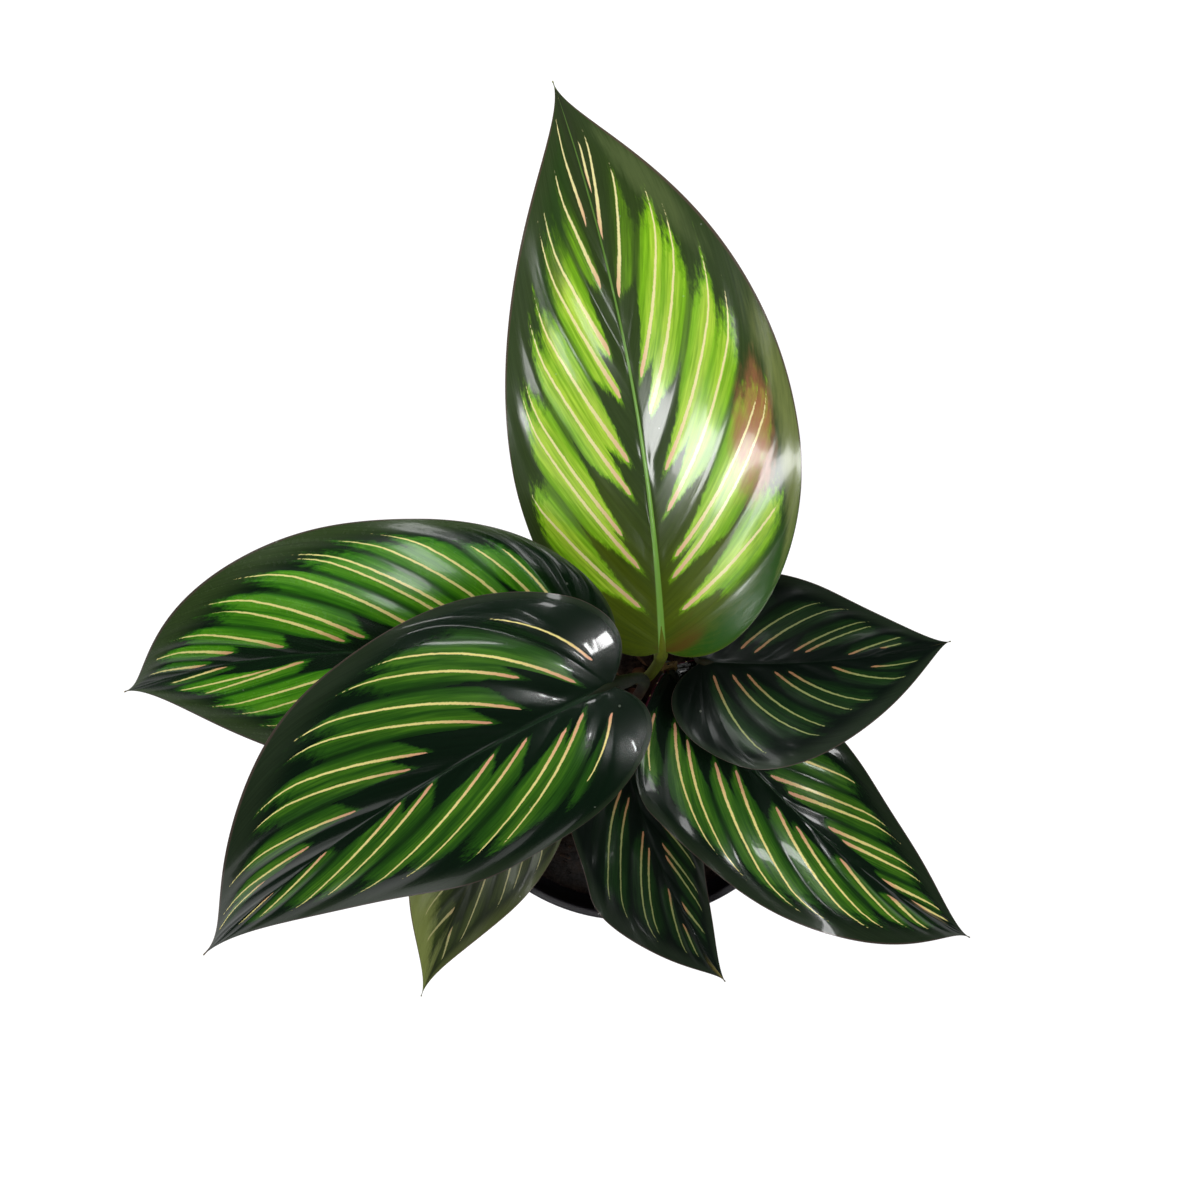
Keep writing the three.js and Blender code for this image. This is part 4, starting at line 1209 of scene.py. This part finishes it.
def blade_top(leaf, look, seed):
    """The glossy upper side of one leaf."""
    material, tree, shader = new_material(
        leaf["name"] + "_top", ior=look["ior"], coat_weight=look["coat"], coat_roughness=0.05)
    vein, signed, spacing, rib = attributes(tree, "vein", "reach", "spacing", "rib")
    reach = abs(signed)
    on_left = calc("GREATER_THAN", signed, 0.0)
    ends, outer_end, band = stripe_ramps(leaf, vein, on_left)
    side_seed = on_left * 5.0 + seed
    known = {"Vein": vein, "Reach": reach, "Outer End": outer_end, "Seed": side_seed}
    stripe = node(tree, "ShaderNodeGroup", {
        **known, "Spacing": spacing, "Ends": ends, "Half Width": look["stripe_width"],
    }, node_tree=PINSTRIPE).outputs
    for label in ("wedge", "last", "first"):
        known[label.title()] = look[label]
    for label in ("dark", "bright", "pale", "margin", "base"):
        known[label.title()] = solid(look[label])
    inner_end = node(tree, "ShaderNodeSeparateColor", {0: ends}).outputs[2]
    greens = node(tree, "ShaderNodeGroup", {
        **known, "Band": band, "Inner End": inner_end, "Away": stripe["Away"],
    }, node_tree=BLADE_COLOUR).outputs
    mask, along = Wire(stripe["Mask"]), Wire(stripe["Along"])

    # Over the greens: the tip, blotches, stripes, the pale midrib, the thin edge and a few specks.
    colour = mixed(rise(vein, look["tip_start"], 0.97), greens["Colour"], solid(look["tip"]))
    colour = blotched(colour, vein, signed, leaf.get("blotches", []))
    stripe_colour = mixed(rise(along, 0.0, 0.4), solid(look["stripe_in"]), solid(look["stripe_out"]))
    colour = mixed(mask, colour, stripe_colour)
    thinner = rib * rise(vein, 0.3, 0.75, 1.0, 2.0)
    on_rib = rise(thinner, 0.5, 0.85, 1.0, 0.0) * rise(vein, 0.45, 0.8, 0.95, 0.35)
    colour = mixed(on_rib, colour, solid(look["rib"]))
    on_edge = rise(reach, 0.982, 0.992) * rise(vein, 0.86, 0.95, 0.85, 0.1)
    colour = mixed(on_edge, colour, solid(look["edge"]))
    place = object_place(tree)
    skin = grain(place, 700.0)
    speck = Wire(node(tree, "ShaderNodeTexVoronoi", {"Vector": place, "Scale": 95.0}).outputs["Distance"])
    colour = mixed(rise(speck, 0.025, 0.04, 1.0, 0.0) * 0.2, colour, SPECK_GREY)

    rough = skin * 0.06 + (Wire(greens["Streak"]) * 0.04 + look["rough"])
    fibres = streaks(vein, reach, side_seed, 260.0, 3.0, 3.0, 0.6)
    relief = mask * 0.12 + (fibres + skin * 0.5)
    dress(shader, colour, rough, relief, depth_mm=0.03, strength=0.7)
    return material


def blade_underside(leaf, look, seed):
    """The satin purple underside, a little green along the raised veins, and the blade's edge."""
    material, tree, shader = new_material(leaf["name"] + "_underside", ior=1.15)
    vein, signed, rib = attributes(tree, "vein", "reach", "rib")
    reach = abs(signed)
    broad = streaks(vein, reach, seed, 40.0, 3.0)
    fibres = streaks(vein, reach, seed, 240.0, 3.0, 3.0, 0.6)
    darker = solid(0.55 * channel for channel in look["under"])
    colour = mixed(rise(broad, 0.3, 0.7), darker, solid(look["under"]))
    colour = mixed(rise(fibres, 0.58, 0.75) * 0.35, colour, UNDER_FIBRE)
    colour = mixed(rise(rib, 0.8, 1.15, 1.0, 0.0) * 0.7, colour, UNDER_RIB)
    colour = mixed(rise(reach, 0.975, 0.99) * 0.8, colour, solid(look["edge"]))
    rough = rise(fibres, 0.2, 0.8, 0.36, 0.55)
    dress(shader, colour, rough, fibres * 1.4 + broad, depth_mm=0.16, strength=0.6)
    return material


def stem_finish(leaf, look):
    """A stem: reddish brown in the sheath, green above, and paler at the joint."""
    material, tree, shader = new_material(leaf["name"] + "_stem", ior=1.2)
    climb = attributes(tree, "vein")[0]
    place = object_place(tree)
    stretched = node(tree, "ShaderNodeMapping", {"Vector": place, "Scale": (1, 1, 0.12)}).outputs[0]
    fibres = grain(Wire(stretched), 1300.0)
    joint = solid(1.25 * channel for channel in look["stalk"])
    colour = mixed(rise(climb, 0.2, 0.62), SHEATH_BROWN, solid(look["stalk"]))
    colour = mixed(rise(climb, 0.7, 0.85), colour, joint)
    colour = mixed(rise(fibres, 0.5, 0.75) * 0.2, colour, SHEATH_BROWN)
    rough = grain(place, 150.0) * 0.2 + 0.46
    dress(shader, colour, rough, fibres, depth_mm=0.12, strength=0.6)
    return material


PINSTRIPE = pinstripe_group()
BLADE_COLOUR = blade_colour_group()
for number, leaf in enumerate(LEAVES):
    look = KINDS[leaf["kind"]]
    grown = added("grown_" + leaf["name"], leaf_mesh(leaf))
    seed = 11.0 * number
    for material in (blade_top(leaf, look, seed), blade_underside(leaf, look, seed), stem_finish(leaf, look)):
        grown.data.materials.append(material)
    soft_shaded(grown, sharp_over=50)
    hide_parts(leaf["name"])
    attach(grown, "root")


# Studio
# A plain white table in soft daylight, with the camera straight above. Three large panels shade
# the plant. The small ones, which only its gloss shows, stand for a window at the front left,
# two narrow ones in front, one at the right and a skylight.

CAMERA_PLACE = (-0.0093, 0.0394, 0.855)
CAMERA_LENS_MM = 72.57
CAMERA_SENSOR_MM = 36
CAMERA_SEES_FROM = 0.02
AIM = (0.0, 0.03, 0.15)
TABLE_SIZE = 6.0
TABLE_GREY = (0.15, 0.15, 0.15, 1)
TABLE_ROUGHNESS = 0.9
TABLE_GLOW = 0.98
WHITE = (1, 1, 1, 1)
ROOM_TINT = (0.9, 0.95, 1, 1)
ROOM_STRENGTH = 0.05


def studio_light(name, azimuth, elevation, distance, size, power, gives):
    """A rectangular light that faces the plant and gives only its "shade" or only its "gloss"."""
    data = bpy.data.lights.new(name, "AREA")
    data.shape = "RECTANGLE"
    data.size, data.size_y = size
    data.energy = power
    light = bpy.data.objects.new(name, data)
    bpy.context.scene.collection.objects.link(light)
    turn, climb = math.radians(azimuth), math.radians(elevation)
    away = np.array([math.cos(climb) * math.cos(turn), math.cos(climb) * math.sin(turn), math.sin(climb)])
    light.location = np.array(AIM) + distance * away
    light.rotation_euler = (math.pi / 2 - climb, 0, turn + math.pi / 2)
    light.visible_glossy = gives == "gloss"
    light.visible_diffuse = gives == "shade"


camera_data = bpy.data.cameras.new("photo_camera")
camera_data.lens = CAMERA_LENS_MM
camera_data.sensor_width = CAMERA_SENSOR_MM
camera_data.clip_start = CAMERA_SEES_FROM
camera = bpy.data.objects.new("photo_camera", camera_data)
camera.location = CAMERA_PLACE
bpy.context.scene.collection.objects.link(camera)
bpy.context.scene.camera = camera

half_table = TABLE_SIZE / 2
table_mesh = bpy.data.meshes.new("table")
table_mesh.from_pydata([(-half_table, -half_table, 0), (half_table, -half_table, 0),
                        (half_table, half_table, 0), (-half_table, half_table, 0)], [], [(0, 1, 2, 3)])
table = added("table", table_mesh)
table_material, table_tree, table_shader = new_material(
    "white_table", base_color=TABLE_GREY, roughness=TABLE_ROUGHNESS, emission_color=WHITE,
    emission_strength=TABLE_GLOW)
table.data.materials.append(table_material)

studio_light("room_left", 224, 60, 1.2, (0.7, 0.7), 5.6, "shade")
studio_light("room_back", 120, 42, 1.2, (0.5, 0.5), 9.0, "shade")
studio_light("room_right", 340, 60, 1.2, (0.7, 0.7), 4.0, "shade")
studio_light("window_left", 222, 64, 1.0, (0.22, 0.26), 3.9, "gloss")
studio_light("window_front", 306, 39, 1.0, (0.03, 0.08), 0.8, "gloss")
studio_light("window_high", 309, 62, 1.0, (0.03, 0.08), 0.2, "gloss")
studio_light("window_right", 356, 43, 1.1, (0.07, 0.12), 0.8, "gloss")
studio_light("skylight", 15, 83, 1.1, (0.15, 0.12), 0.75, "gloss")

# The camera sees white round the table. The plant is lit by a faint cool room.
world = bpy.data.worlds.new("studio")
bpy.context.scene.world = world
world.use_nodes = True
world_tree = world.node_tree
seen = world_tree.nodes["Background"]
seen.inputs["Color"].default_value = WHITE
seen.inputs["Strength"].default_value = 1.0
room = node(world_tree, "ShaderNodeBackground", {"Color": ROOM_TINT, "Strength": ROOM_STRENGTH})
to_camera = node(world_tree, "ShaderNodeLightPath").outputs["Is Camera Ray"]
joined = node(world_tree, "ShaderNodeMixShader", {0: to_camera, 1: room.outputs[0], 2: seen.outputs[0]})
world_tree.links.new(joined.outputs[0], world_tree.nodes["World Output"].inputs["Surface"])
bpy.context.scene.view_settings.view_transform = "Standard"
